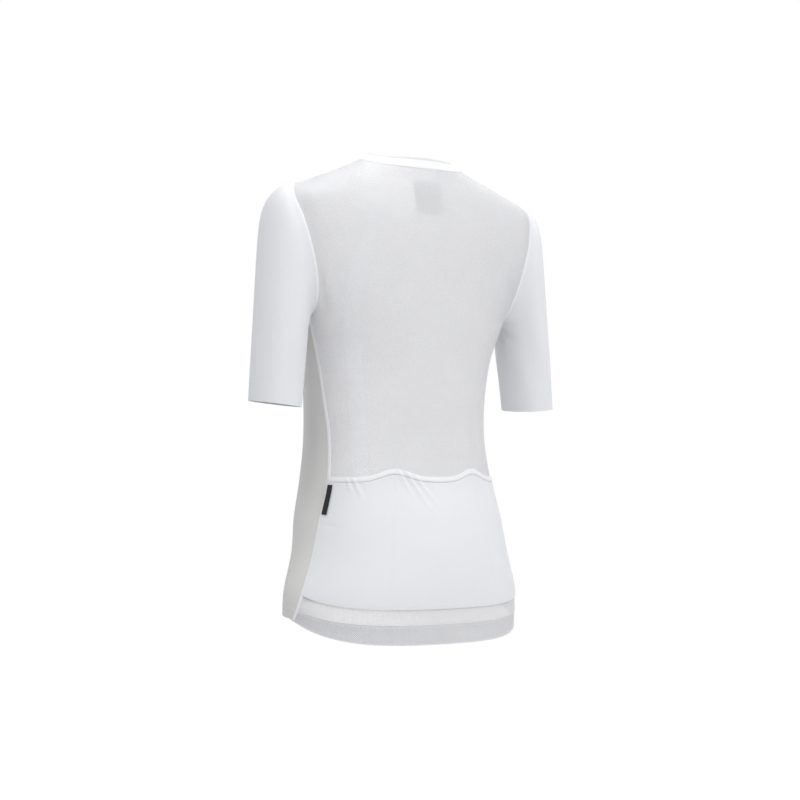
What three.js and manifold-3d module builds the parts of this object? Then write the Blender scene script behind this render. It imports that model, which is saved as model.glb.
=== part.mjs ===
// A women's short-sleeved cycling jersey, worn and filled out with no wearer in it.
// Millimetres, +Z up, front towards -Y, the wearer's left on +X.
// Origin: level with the neck point of the shoulders, on the plane of symmetry.
import * as THREE from "three";
import { mergeVertices } from "three/addons/utils/BufferGeometryUtils.js";
import Module from "manifold-3d";

// Cloth and seams
const WALL = 1.2;
const HALF_WALL = WALL / 2;
const SEAM_GAP = 0.36;
const LAY_GAP = 0.3;
const OVERLAY_WALL = 1.1;

// Torso form, a row per level from the hem to the neck ring.
// z and y are given at the back, the side and the front. halfWidth is the side's x.
// square swells the corners of the level, 0 leaves it an ellipse.
const TORSO_COLUMNS = ["zBack", "zSide", "zFront", "halfWidth", "yBack", "ySide", "yFront", "square"];
const TORSO_ROWS = [
  [-593, -561, -548, 164, 104, 1, -81, 0],
  [-541, -530, -522, 163, 105, 2, -76, 0],
  [-490, -484, -480, 151, 100, 0, -75, 0],
  [-443, -440, -438, 144, 91, -5, -82, 0],
  [-395, -394, -393, 133, 79, -8, -91, 0],
  [-345, -345, -345, 125, 74, -10, -97, 0],
  [-295, -295, -296, 125, 74, -10, -101, 0],
  [-243, -243, -247, 131, 75, -6, -107, 0.005],
  [-195, -192, -200, 146, 76, 2, -113, 0.015],
  [-155, -155, -165, 158, 75, 9, -112, 0.03],
  [-115, -118, -132, 168, 73, 13, -104, 0.05],
  [-82, -82, -106, 175, 70, 16, -92, 0.06],
  [-57, -46, -88, 177, 66, 16, -80, 0.055],
  [-37, -29, -75, 142, 62, 17, -68, 0.04],
  [-23, -14, -64, 105, 58, 18, -57, 0.03],
  [-8, 0.5, -54, 72, 55, 20, -46, 0],
];
const LAST_ROW = TORSO_ROWS.length - 1;
const UNDERARM = 8 / LAST_ROW;
const SHOULDER_TIP = 12.5 / LAST_ROW;
const LEVEL_SWEEP = { back: 1.15, front: 1.7 };

// Seam from the hem to the underarm, in degrees behind the side, a value per torso level.
const SIDE_SEAM_DEGREES = [5.5, 13, 16.5, 20.5, 22.5, 19.5, 14.5, 9.5, 7];
// Shoulder seam, in degrees before the side.
const SHOULDER_SEAM_DEGREES = -9;
// Armhole: how many degrees it swings behind and before its axis, and how far low it swings most.
const ARMHOLE_BACK = { swing: 20, skew: -0.1 };
const ARMHOLE_FRONT = { swing: 24, skew: 0.16 };

// Sleeve, left side
const CUFF = { x: 193, y: 15, z: -304, halfWidth: 29, halfDepth: 38, tiltBack: 4, tiltOut: 6 };
const ARM_TOP = { x: 169.5, y: 11.5, z: -50, halfWidth: 33, halfDepth: 45 };
const SLEEVE_CAP = { easeTop: 1.55, easeUnder: 1, settle: 10 };

// Collar
const COLLAR = { tallMiddle: 12.5, tallSide: 9, leanMiddle: 3, leanSide: 14 };

// Zip
const ZIP_SLOT = 6.4;
const ZIP_TAPE_WIDTH = 26;
const ZIP_TAPE_WALL = 1;
const COIL_WIDTH = 5.2;
const COIL_PROUD = 1.5;

// Zip slider and its pull tab, about the place on the collar where the slider stands
const SLIDER = { share: 0.52, width: 7.6, foot: 4.6, tall: 9, wall: 2.2, lift: 0.95 };
const ARCH = { width: 1.8, tall: 4.6, opening: 2.5, clear: 2, wall: 1 };
const PULL = { width: 5.4, length: 13, wall: 1.2, bar: 1.2, eye: 3, side: 1.3, restDegrees: 24 };

// Pocket panel, in shares of the width between the side seams
const POCKET_MARGIN = 0.005;
const POCKET_DIVISIONS = [0.31, 0.7];
const POCKET_TOP = { trough: 4.06, peak: 4.27, peakWidth: 0.085 };
const POCKET_BOTTOM = { middle: 0.82, side: 1.0 };
const BINDING_SHARE = 0.04;
const POCKET_BULGE = 1.4;

// Pocket folds: place across and up the panel, direction, half width, half length, height
const FOLD_COLUMNS = ["across", "up", "lean", "halfWidth", "halfLength", "rise"];
const POCKET_FOLD_ROWS = [
  [0.355, 0.9, 0.3, 0.012, 0.09, 1.2],
  [0.405, 0.875, 0.36, 0.012, 0.11, 1.3],
  [0.45, 0.86, 0.4, 0.012, 0.1, 1.0],
  [0.12, 0.9, 0.28, 0.01, 0.06, 0.8],
  [0.16, 0.88, 0.3, 0.01, 0.07, 0.9],
];

// Hem gripper and labels
const GRIPPER_TALL = 24;
const GRIPPER_WALL = 1;
const GRIPPER_LIFT_SHARE = 0.04;
const NECK_LABEL = { halfWidth: 21, top: 19, tall: 44, wall: 1 };
const SIDE_TAB = { rows: [8.6, 11.7], wall: 1 };

// Grid counts
const ROWS_BELOW_ARM = 15;
const ROWS_AT_ARM = 13;
const ROWS_ABOVE_ARM = 6;
const COLUMNS_BACK = 22;
const COLUMNS_FRONT = 11;
const ROWS_SLEEVE = 11;
const ROWS_POCKET = 12;

// Colours
const CLOTH = { smooth: 0xe6ebee, mesh: 0xdedfe1, pocket: 0xf0f2f5, band: 0xd3d9e0 };
const DARK = 0x1c1c1e;
const METAL = 0xb9bcc0;

const radians = (degrees) => degrees * Math.PI / 180;
const mix = (a, b, share) => a + (b - a) * share;
const point = (x, y, z) => new THREE.Vector3(x, y, z);

// A smooth run through a list of values, place counted from 0 along the list.
function smoothRun(values, place) {
  const last = values.length - 1;
  const held = Math.min(Math.max(place, 0), last);
  const i = Math.min(Math.floor(held), last - 1);
  const f = held - i;
  const before = i > 0 ? values[i - 1] : 2 * values[0] - values[1];
  const after = i + 2 <= last ? values[i + 2] : 2 * values[last] - values[last - 1];
  const [p, q] = [values[i], values[i + 1]];
  const linear = q - before;
  const square = 2 * before - 5 * p + 4 * q - after;
  const cubic = 3 * p - before - 3 * q + after;
  return 0.5 * (2 * p + linear * f + square * f * f + cubic * f * f * f);
}

const TORSO_LISTS = Object.fromEntries(
  TORSO_COLUMNS.map((name, column) => [name, TORSO_ROWS.map((row) => row[column])]),
);

function torsoLevel(level) {
  const place = level * LAST_ROW;
  return Object.fromEntries(TORSO_COLUMNS.map((name) => [name, smoothRun(TORSO_LISTS[name], place)]));
}

// The torso's surface: angle from the wearer's left round the back, level from hem 0 to neck 1.
function torso(angle, level) {
  const r = torsoLevel(level);
  const across = (Math.cos(angle) - r.square * Math.cos(3 * angle)) / (1 - r.square);
  const along = (Math.sin(angle) + r.square * Math.sin(3 * angle)) / (1 - r.square);
  const depth = (r.yBack - r.yFront) / 2;
  const shift = (r.yBack + r.yFront) / 2 - r.ySide;
  const swing = Math.sin(angle);
  const sweep = swing > 0 ? LEVEL_SWEEP.back : LEVEL_SWEEP.front;
  const share = Math.sin((Math.PI / 2) * Math.abs(swing) ** sweep);
  const end = swing > 0 ? r.zBack : r.zFront;
  const y = r.ySide + depth * along + shift * along * along;
  return point(r.halfWidth * across, y, mix(r.zSide, end, share));
}

// Outward normal of any surface of two parameters, by small steps.
function normalOf(surface, a, b, stepA, stepB) {
  const alongA = surface(a + stepA, b).sub(surface(a - stepA, b));
  const alongB = surface(a, b + stepB).sub(surface(a, b - stepB));
  return alongA.cross(alongB).normalize();
}

const torsoNormal = (angle, level) => {
  const held = Math.min(Math.max(level, 0.002), 0.998);
  return normalOf(torso, angle, held, 0.01, 0.002);
};

const sideSeam = (level) => radians(smoothRun(SIDE_SEAM_DEGREES, level * LAST_ROW));

// The armhole loop: turn 0 is the shoulder tip, pi the underarm, the back side between them.
function armhole(turn) {
  const level = (SHOULDER_TIP + UNDERARM) / 2 + ((SHOULDER_TIP - UNDERARM) / 2) * Math.cos(turn);
  const low = SIDE_SEAM_DEGREES[SIDE_SEAM_DEGREES.length - 1];
  const axis = mix(SHOULDER_SEAM_DEGREES, low, (1 - Math.cos(turn)) / 2);
  const { swing, skew } = Math.sin(turn) > 0 ? ARMHOLE_BACK : ARMHOLE_FRONT;
  const angle = radians(axis + swing * Math.sin(turn) * (1 - skew * Math.cos(turn)));
  return { angle, level };
}

// The sleeve's tube alone: place across at a turn and a height.
function sleeveTube(turn, z) {
  const share = (z - CUFF.z) / (ARM_TOP.z - CUFF.z);
  const held = (name) => mix(CUFF[name], ARM_TOP[name], share);
  const [x, y] = [Math.cos(turn) * held("halfWidth"), Math.sin(turn) * held("halfDepth")];
  return point(held("x") + x, held("y") + y, z);
}

// The left sleeve's surface: turn as on the armhole, share 0 at the armhole and 1 at the cuff.
// It leaves the armhole loop and settles on the tube.
function sleeve(turn, share) {
  const hole = armhole(turn);
  const start = torso(hole.angle, hole.level);
  const [c, s] = [Math.cos(turn), Math.sin(turn)];
  const drop = CUFF.halfDepth * s * Math.tan(radians(CUFF.tiltBack));
  const rise = CUFF.halfWidth * c * Math.tan(radians(CUFF.tiltOut));
  const ease = mix(SLEEVE_CAP.easeUnder, SLEEVE_CAP.easeTop, (1 + c) / 2);
  const z = mix(start.z, CUFF.z - drop + rise, Math.max(share, 0) ** ease);
  const away = start.clone().sub(sleeveTube(turn, start.z));
  return sleeveTube(turn, z).addScaledVector(away, (1 - share) ** SLEEVE_CAP.settle);
}

const sleeveNormal = (turn, share) => {
  const held = Math.min(Math.max(share, 0.02), 0.98);
  return normalOf(sleeve, turn, held, 0.02, 0.02).negate();
};

// Where torso and sleeve meet, both walls take the direction half way between their normals.
function armholeNormal(turn) {
  const hole = armhole(turn);
  return torsoNormal(hole.angle, hole.level).add(sleeveNormal(turn, 0)).normalize();
}

// The collar stands on the neck ring and leans a little inward.
function collar(angle, share) {
  const foot = torso(angle, 1);
  const inward = point(-foot.x, 5 - foot.y, 0).normalize();
  const side = Math.cos(angle) ** 2;
  const lean = mix(COLLAR.leanMiddle, COLLAR.leanSide, side);
  const tall = mix(COLLAR.tallMiddle, COLLAR.tallSide, side);
  return foot.addScaledVector(inward, lean * share).add(point(0, 0, tall * share));
}

const collarNormal = (angle, share) => normalOf(collar, angle, share, 0.02, 0.05);

const neckNormal = (angle) => torsoNormal(angle, 1).add(collarNormal(angle, 0.5)).normalize();

// A node of a cloth piece's grid: a point of its middle surface and the wall's direction there.
const knot = (place, normal) => ({ place, normal });

// Draws the named edges of a grid in, so that the pieces stay a seam's gap apart.
function drawIn(grid, edges, gap) {
  const rows = grid.length;
  const columns = grid[0].length;
  const moves = grid.map((line) => line.map(() => point(0, 0, 0)));
  const edgeMove = (i, j, inI, inJ, before, after) => {
    const here = grid[i][j];
    const run = grid[after[0]][after[1]].place.clone().sub(grid[before[0]][before[1]].place);
    const inward = run.cross(here.normal).normalize();
    const towards = grid[inI][inJ].place.clone().sub(here.place);
    const sign = inward.dot(towards) < 0 ? -1 : 1;
    moves[i][j].addScaledVector(inward, (sign * gap) / 2);
  };
  for (let i = 0; i < rows; i += 1) {
    const [low, high] = [Math.max(i - 1, 0), Math.min(i + 1, rows - 1)];
    if (edges.includes("first")) {
      edgeMove(i, 0, i, 1, [low, 0], [high, 0]);
    }
    if (edges.includes("last")) {
      edgeMove(i, columns - 1, i, columns - 2, [low, columns - 1], [high, columns - 1]);
    }
  }
  for (let j = 0; j < columns; j += 1) {
    const [low, high] = [Math.max(j - 1, 0), Math.min(j + 1, columns - 1)];
    if (edges.includes("bottom")) {
      edgeMove(0, j, 1, j, [0, low], [0, high]);
    }
    if (edges.includes("top")) {
      edgeMove(rows - 1, j, rows - 2, j, [rows - 1, low], [rows - 1, high]);
    }
  }
  grid.forEach((line, i) => line.forEach((node, j) => node.place.add(moves[i][j])));
  return grid;
}

// Closes a grid of knots into a wall between two offsets. A round grid joins its last column to its first.
function wallOf(grid, outer, inner, round = false) {
  const rows = grid.length;
  const columns = grid[0].length;
  const places = [];
  [outer, inner].forEach((offset) => {
    grid.forEach((line, i) => {
      line.forEach((node, j) => {
        const by = typeof offset === "function" ? offset(i, j) : offset;
        const moved = node.place.clone().addScaledVector(node.normal, by);
        places.push(moved.x, moved.y, moved.z);
      });
    });
  });
  const at = (side, i, j) => side * rows * columns + i * columns + (j % columns);
  const faces = [];
  const quad = (a, b, c, d) => faces.push(a, b, c, a, c, d);
  const spans = round ? columns : columns - 1;
  for (let i = 0; i < rows - 1; i += 1) {
    for (let j = 0; j < spans; j += 1) {
      quad(at(0, i, j), at(0, i, j + 1), at(0, i + 1, j + 1), at(0, i + 1, j));
      quad(at(1, i, j), at(1, i + 1, j), at(1, i + 1, j + 1), at(1, i, j + 1));
    }
  }
  for (let j = 0; j < spans; j += 1) {
    quad(at(0, 0, j), at(1, 0, j), at(1, 0, j + 1), at(0, 0, j + 1));
    quad(at(0, rows - 1, j), at(0, rows - 1, j + 1), at(1, rows - 1, j + 1), at(1, rows - 1, j));
  }
  if (!round) {
    for (let i = 0; i < rows - 1; i += 1) {
      quad(at(0, i, 0), at(0, i + 1, 0), at(1, i + 1, 0), at(1, i, 0));
      const end = columns - 1;
      quad(at(0, i, end), at(1, i, end), at(1, i + 1, end), at(0, i + 1, end));
    }
  }
  return closed(places, faces);
}

// A geometry whose faces look outwards, whichever way they were listed.
function closed(places, faces) {
  let volume = 0;
  const corner = (k) => point(places[3 * k], places[3 * k + 1], places[3 * k + 2]);
  for (let k = 0; k < faces.length; k += 3) {
    volume += corner(faces[k]).dot(corner(faces[k + 1]).cross(corner(faces[k + 2])));
  }
  const listed = volume < 0 ? faces.map((_, k) => faces[k - (k % 3) + [0, 2, 1][k % 3]]) : faces;
  const geometry = new THREE.BufferGeometry();
  geometry.setAttribute("position", new THREE.Float32BufferAttribute(places, 3));
  geometry.setIndex(listed);
  geometry.computeVertexNormals();
  return geometry;
}

// The grid on the other side of the plane of symmetry, with its columns run back.
const mirrored = (grid) => grid.map((line) => line.map((node) => knot(
  node.place.clone().multiply(point(-1, 1, 1)),
  node.normal.clone().multiply(point(-1, 1, 1)),
)).reverse());

// The torso's levels with the turn of the armhole where it has one.
function levelStops() {
  const stops = [];
  const band = GRIPPER_TALL / (TORSO_ROWS[1][0] - TORSO_ROWS[0][0]) / LAST_ROW;
  stops.push({ level: 0, turn: null });
  for (let k = 0; k < ROWS_BELOW_ARM; k += 1) {
    stops.push({ level: mix(band, UNDERARM, k / ROWS_BELOW_ARM), turn: null });
  }
  for (let k = 0; k <= ROWS_AT_ARM; k += 1) {
    const turn = Math.PI * (1 - k / ROWS_AT_ARM);
    stops.push({ level: armhole(turn).level, turn });
  }
  for (let k = 1; k <= ROWS_ABOVE_ARM; k += 1) {
    stops.push({ level: mix(SHOULDER_TIP, 1, k / ROWS_ABOVE_ARM), turn: null });
  }
  return stops;
}

// Angle of the back panel's left edge, or of the front panel's outer edge, at a stop.
function edgeAngle(stop, front) {
  if (stop.turn !== null) {
    return armhole(front ? -stop.turn : stop.turn).angle;
  }
  return stop.level < UNDERARM ? sideSeam(stop.level) : radians(SHOULDER_SEAM_DEGREES);
}

function edgeNormal(stop, front, angle) {
  if (stop.turn !== null) {
    return armholeNormal(front ? -stop.turn : stop.turn);
  }
  return stop.level > 0.9999 ? neckNormal(angle) : torsoNormal(angle, stop.level);
}

// Angle that the inner columns keep to, where the edge itself swings round the armhole.
function calmAngle(level) {
  if (level < UNDERARM) {
    return sideSeam(level);
  }
  const low = SIDE_SEAM_DEGREES[SIDE_SEAM_DEGREES.length - 1];
  const share = Math.min((level - UNDERARM) / (SHOULDER_TIP - UNDERARM), 1);
  return radians(mix(low, SHOULDER_SEAM_DEGREES, share));
}

// Angles of the back panel's columns between its two edges.
function backAngles(level, edge) {
  const calm = calmAngle(level);
  const shares = Array.from({ length: COLUMNS_BACK + 1 }, (_, j) => j / COLUMNS_BACK);
  return shares.map((share) => {
    const near = Math.max(1 - 2 * share, 0) ** 2 - Math.max(2 * share - 1, 0) ** 2;
    const even = share - 0.02 * Math.sin(2 * Math.PI * share);
    return mix(calm, Math.PI - calm, even) + (edge - calm) * near;
  });
}

function frontAngles(level, edge) {
  const calm = calmAngle(level);
  const shares = Array.from({ length: COLUMNS_FRONT + 1 }, (_, j) => j / COLUMNS_FRONT);
  return shares.map((share) => mix(zipEdge(level), calm, share) + (edge - calm) * share * share);
}

function backGrid() {
  return levelStops().map((stop) => {
    const edge = edgeAngle(stop, false);
    const angles = backAngles(stop.level, edge);
    const line = [];
    for (let j = 0; j <= COLUMNS_BACK; j += 1) {
      const angle = angles[j];
      const outermost = j === 0 || j === COLUMNS_BACK;
      let normal = stop.level > 0.9999 ? neckNormal(angle) : torsoNormal(angle, stop.level);
      if (outermost) {
        normal = edgeNormal(stop, false, edge);
      }
      if (outermost && j > 0) {
        normal = normal.multiply(point(-1, 1, 1));
      }
      line.push(knot(torso(angle, stop.level), normal));
    }
    return line;
  });
}

// Angle at which a level's front comes within half the zip's slot of the middle.
function zipEdge(level) {
  const half = ZIP_SLOT / 2;
  return radians(-90) + Math.asin(half / torsoLevel(level).halfWidth);
}

function frontGrid() {
  return levelStops().map((stop) => {
    const edge = edgeAngle(stop, true);
    const angles = frontAngles(stop.level, edge);
    const line = [];
    for (let j = 0; j <= COLUMNS_FRONT; j += 1) {
      const angle = angles[j];
      const plain = stop.level > 0.9999 ? neckNormal(angle) : torsoNormal(angle, stop.level);
      const normal = j === COLUMNS_FRONT ? edgeNormal(stop, true, edge) : plain;
      line.push(knot(torso(angle, stop.level), normal));
    }
    return line;
  });
}

function sleeveGrid() {
  const grid = [];
  for (let i = 0; i <= ROWS_SLEEVE; i += 1) {
    const share = (i / ROWS_SLEEVE) ** 1.35;
    const line = [];
    for (let k = 0; k < 2 * ROWS_AT_ARM; k += 1) {
      const turn = (Math.PI * k) / ROWS_AT_ARM;
      const normal = i === 0 ? armholeNormal(turn) : sleeveNormal(turn, share);
      line.push(knot(sleeve(turn, share), normal));
    }
    grid.push(line);
  }
  // The first ring is drawn away from the armhole edge.
  grid[0].forEach((node, k) => {
    const line = grid[0];
    const [next, before] = [line[(k + 1) % line.length], line[(k + line.length - 1) % line.length]];
    const run = next.place.clone().sub(before.place);
    node.away = run.cross(node.normal).normalize();
    if (node.away.dot(grid[1][k].place.clone().sub(node.place)) < 0) {
      node.away.negate();
    }
  });
  grid[0].forEach((node) => node.place.addScaledVector(node.away, SEAM_GAP / 2));
  return grid;
}

// Angles round the neck ring where the panels have their columns.
function neckAngles() {
  const edge = radians(SHOULDER_SEAM_DEGREES);
  const front = frontAngles(1, edge);
  const other = front.map((angle) => Math.PI - angle).reverse();
  return [...front.slice(0, -1), ...backAngles(1, edge), ...other.slice(1)];
}

function collarGrid() {
  const grid = [0, 0.5, 1].map((share) => neckAngles().map((angle) => (
    knot(collar(angle, share), share === 0 ? neckNormal(angle) : collarNormal(angle, share))
  )));
  return drawIn(grid, ["bottom"], SEAM_GAP);
}

// Levels of the pocket's lower and upper edges at a share of the panel's width.
function pocketEdges(share) {
  const bump = (centre) => Math.exp(-(((share - centre) / POCKET_TOP.peakWidth) ** 2));
  const rise = POCKET_DIVISIONS.reduce((sum, centre) => sum + bump(centre), 0);
  const side = Math.abs(2 * share - 1) ** 4;
  return {
    low: mix(POCKET_BOTTOM.middle, POCKET_BOTTOM.side, side) / LAST_ROW,
    high: mix(POCKET_TOP.trough, POCKET_TOP.peak, rise) / LAST_ROW,
  };
}

// Columns crowd where the folds lie.
function pocketShares() {
  const shares = [];
  const steps = [[0, 0.08, 3], [0.08, 0.2, 8], [0.2, 0.32, 3], [0.32, 0.5, 12], [0.5, 1, 9]];
  steps.forEach(([from, to, count]) => {
    for (let k = 0; k < count; k += 1) {
      shares.push(mix(from, to, k / count));
    }
  });
  return [...shares, 1];
}

// Height of the pocket's cloth over the back: a soft bulge in each pocket, and the folds.
function pocketRise(share, up) {
  const bounds = [0, ...POCKET_DIVISIONS, 1];
  const pocket = bounds.findIndex((bound, k) => k < 3 && share >= bound && share <= bounds[k + 1]);
  const within = (share - bounds[pocket]) / (bounds[pocket + 1] - bounds[pocket]);
  const bulge = POCKET_BULGE * Math.sin(Math.PI * within) ** 2 * Math.sin(Math.PI * Math.min(up * 0.85, 1));
  const folds = POCKET_FOLD_ROWS.reduce((sum, row) => {
    const f = Object.fromEntries(FOLD_COLUMNS.map((name, k) => [name, row[k]]));
    const axis = f.across + (f.up - up) * f.lean;
    const cross = (share - axis) / f.halfWidth;
    const down = (up - f.up) / f.halfLength;
    return sum + f.rise * Math.exp(-cross * cross - down * down);
  }, 0);
  return bulge + folds;
}

function pocketKnot(share, up) {
  const edges = pocketEdges(share);
  const level = mix(edges.low, edges.high, up);
  const seam = sideSeam(level);
  const angle = mix(seam, Math.PI - seam, mix(POCKET_MARGIN, 1 - POCKET_MARGIN, share));
  const lift = HALF_WALL + LAY_GAP + OVERLAY_WALL / 2 + 0.25;
  const normal = torsoNormal(angle, level);
  return knot(torso(angle, level).addScaledVector(normal, lift + pocketRise(share, up)), normal);
}

function pocketGrid(from, to, ups) {
  const grid = [];
  for (let i = 0; i <= ups; i += 1) {
    const up = mix(from, to, i / ups);
    grid.push(pocketShares().map((share) => pocketKnot(share, up)));
  }
  return grid;
}

// A knot at a place counted in rows and columns of a grid, on the grid's own facets.
function knotOn(grid, row, column) {
  const i = Math.min(Math.floor(row), grid.length - 2);
  const j = Math.min(Math.floor(column), grid[0].length - 2);
  const between = (p, q, share, name) => p[name].clone().lerp(q[name], share);
  const line = (k, name) => between(grid[k][j], grid[k][j + 1], column - j, name);
  const both = (name) => line(i, name).lerp(line(i + 1, name), row - i);
  return knot(both("place"), both("normal").normalize());
}

// The stops from one place of a count to another, with every whole number between them.
function stopsBetween(from, to) {
  const stops = [from];
  for (let k = Math.floor(from) + 1; k < to - 1e-6; k += 1) {
    stops.push(k);
  }
  return [...stops, to];
}

// A piece that lies on a part of a grid, moved along its normals.
function layOn(grid, [rowFrom, rowTo], [columnFrom, columnTo], moved) {
  return stopsBetween(rowFrom, rowTo).map((row) => stopsBetween(columnFrom, columnTo).map((column) => {
    const found = knotOn(grid, row, column);
    found.place.addScaledVector(found.normal, moved);
    return found;
  }));
}

// Place of a distance from a row's first knot, counted in columns of its first facet.
function acrossFirst(line, distance) {
  return distance / line[0].place.distanceTo(line[1].place);
}

// Elastic ring inside the hem from one side of the zip to the other.
function gripperGrid(frontKnots, backKnots) {
  const moved = -(HALF_WALL + LAY_GAP + GRIPPER_WALL / 2);
  const start = acrossFirst(frontKnots[0], ZIP_TAPE_WIDTH / 2 - ZIP_SLOT / 2 + 1);
  const rows = [GRIPPER_LIFT_SHARE, 1];
  const left = layOn(frontKnots, rows, [start, COLUMNS_FRONT], moved);
  const behind = layOn(backKnots, rows, [0, COLUMNS_BACK], moved);
  const right = mirrored(left);
  return left.map((line, i) => [
    ...line.slice(0, -1),
    ...behind[i],
    ...right[i].slice(1),
  ]);
}

// A plain rectangle inside the back neck.
function neckLabelGrid(backKnots) {
  const middle = COLUMNS_BACK / 2;
  const below = (row, z) => {
    const [low, high] = [backKnots[row][middle].place.z, backKnots[row + 1][middle].place.z];
    return z >= low && z <= high ? row + (z - low) / (high - low) : null;
  };
  const rowAt = (z) => backKnots.slice(0, -1).map((_, row) => below(row, z)).find((row) => row !== null);
  const [low, high] = [rowAt(-NECK_LABEL.top - NECK_LABEL.tall), rowAt(-NECK_LABEL.top)];
  const line = backKnots[Math.round(low)];
  const half = NECK_LABEL.halfWidth / line[middle].place.distanceTo(line[middle + 1].place);
  const inside = -(HALF_WALL + LAY_GAP + NECK_LABEL.wall / 2);
  return layOn(backKnots, [low, high], [middle - half, middle + half], inside);
}

// Zip tape behind the fronts, with the closed coil standing in the slot between them.
function zipGeometry(frontKnots, collarKnots) {
  const lines = [...frontKnots, ...collarKnots];
  const reach = ZIP_TAPE_WIDTH / 2 - ZIP_SLOT / 2;
  const face = -(HALF_WALL + LAY_GAP + 0.12);
  const stations = lines.map((line) => {
    const edge = line[0];
    const far = edge.place.clone().lerp(line[1].place, acrossFirst(line, reach));
    const normal = edge.normal.clone().setX(0).normalize();
    const at = (place, height) => place.clone().addScaledVector(normal, height);
    const foot = edge.place.clone().setX(COIL_WIDTH / 2);
    return [
      at(far, face - ZIP_TAPE_WALL),
      at(far, face),
      at(edge.place, face),
      at(foot, face),
      at(foot, face + COIL_PROUD),
    ];
  });
  const [first, second] = stations;
  const last = stations[stations.length - 1];
  const before = stations[stations.length - 2];
  first.forEach((place, k) => place.lerp(second[k], 0.04));
  last.forEach((place, k) => place.lerp(before[k], 0.12));
  const places = [];
  stations.forEach((half) => {
    const other = half.map((place) => place.clone().multiply(point(-1, 1, 1))).reverse();
    [...half, ...other].forEach((place) => places.push(place.x, place.y, place.z));
  });
  const n = 10;
  const faces = [];
  for (let i = 0; i < stations.length - 1; i += 1) {
    for (let k = 0; k < n; k += 1) {
      const [a, b] = [i * n + k, i * n + ((k + 1) % n)];
      faces.push(a, b, b + n, a, b + n, a + n);
    }
  }
  const cap = [[0, 1, 2], [0, 2, 3], [0, 3, 6], [3, 4, 5], [3, 5, 6], [0, 6, 9], [6, 7, 9], [7, 8, 9]];
  const top = (stations.length - 1) * n;
  cap.forEach(([a, b, c]) => {
    faces.push(a, c, b);
    faces.push(top + a, top + b, top + c);
  });
  return closed(places, faces);
}

const wasm = await Module();
wasm.setup();

// A closed geometry as a solid that can be joined or cut.
function solidOf(geometry) {
  const bare = geometry.clone();
  bare.deleteAttribute("normal");
  bare.deleteAttribute("uv");
  const merged = mergeVertices(bare, 1e-4);
  const vertProperties = new Float32Array(merged.attributes.position.array);
  const triVerts = new Uint32Array(merged.index.array);
  return new wasm.Manifold(new wasm.Mesh({ numProp: 3, vertProperties, triVerts }));
}

function geometryOf(solid) {
  const mesh = solid.getMesh();
  return closed(Array.from(mesh.vertProperties), Array.from(mesh.triVerts));
}

// A flat outline made into a plate from one depth to another.
function plate(outline, holes, from, to) {
  const corners = outline.map(([a, b]) => new THREE.Vector2(a, b));
  const shape = new THREE.Shape(THREE.ShapeUtils.isClockWise(corners) ? corners.reverse() : corners);
  holes.forEach((hole) => shape.holes.push(new THREE.Path(hole.map(([a, b]) => new THREE.Vector2(a, b)))));
  const made = new THREE.ExtrudeGeometry(shape, { depth: to - from, bevelEnabled: false });
  return made.translate(0, 0, from);
}

// Slider in its own frame: x across, y away from the cloth, z up the zip.
function sliderGeometry() {
  const { width, foot, tall, wall, lift } = SLIDER;
  const [half, low, top] = [width / 2, foot / 2, tall / 2];
  const body = plate(
    [[-low, -top], [low, -top], [half, top * 0.2], [half, top * 0.85], [low, top], [-low, top],
      [-half, top * 0.85], [-half, top * 0.2]],
    [],
    -lift - wall,
    -lift,
  ).rotateX(Math.PI / 2);
  const rise = lift + wall;
  const [out, reach] = [ARCH.opening / 2, ARCH.tall / 2];
  const roof = rise + ARCH.clear + ARCH.wall;
  const arch = plate(
    [[rise - 0.5, -reach], [rise - 0.5, reach], [rise + ARCH.clear, reach], [roof, out],
      [roof, -out], [rise + ARCH.clear, -reach]],
    [[[rise, -out], [rise, out], [rise + ARCH.clear, out], [rise + ARCH.clear, -out]]],
    -ARCH.width / 2,
    ARCH.width / 2,
  ).applyMatrix4(new THREE.Matrix4().makeBasis(point(0, 1, 0), point(0, 0, 1), point(1, 0, 0)));
  return geometryOf(solidOf(body).add(solidOf(arch)));
}

// Pull tab in its own frame: hinge bar on the x axis, the tab hanging along -z.
function pullGeometry() {
  const { width, length, wall, bar, eye, side } = PULL;
  const half = width / 2;
  const outline = [
    [-half + 0.6, bar / 2], [half - 0.6, bar / 2], [half, 0], [half, -length + 1.5], [half - 1.5, -length],
    [-half + 1.5, -length], [-half, -length + 1.5], [-half, 0],
  ];
  const inner = half - side;
  const hole = [[-inner, -bar / 2], [inner, -bar / 2], [inner, -bar / 2 - eye], [-inner, -bar / 2 - eye]];
  return plate(outline, [hole], -wall / 2, wall / 2).rotateX(Math.PI / 2);
}

function material(colour, roughness, metalness = 0) {
  return new THREE.MeshStandardMaterial({ color: colour, roughness, metalness });
}

function piece(name, geometry, colour, roughness, metalness = 0) {
  const mesh = new THREE.Mesh(geometry, material(colour, roughness, metalness));
  mesh.name = name;
  return mesh;
}

const jersey = new THREE.Group();
jersey.name = "cycling_jersey";

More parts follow.
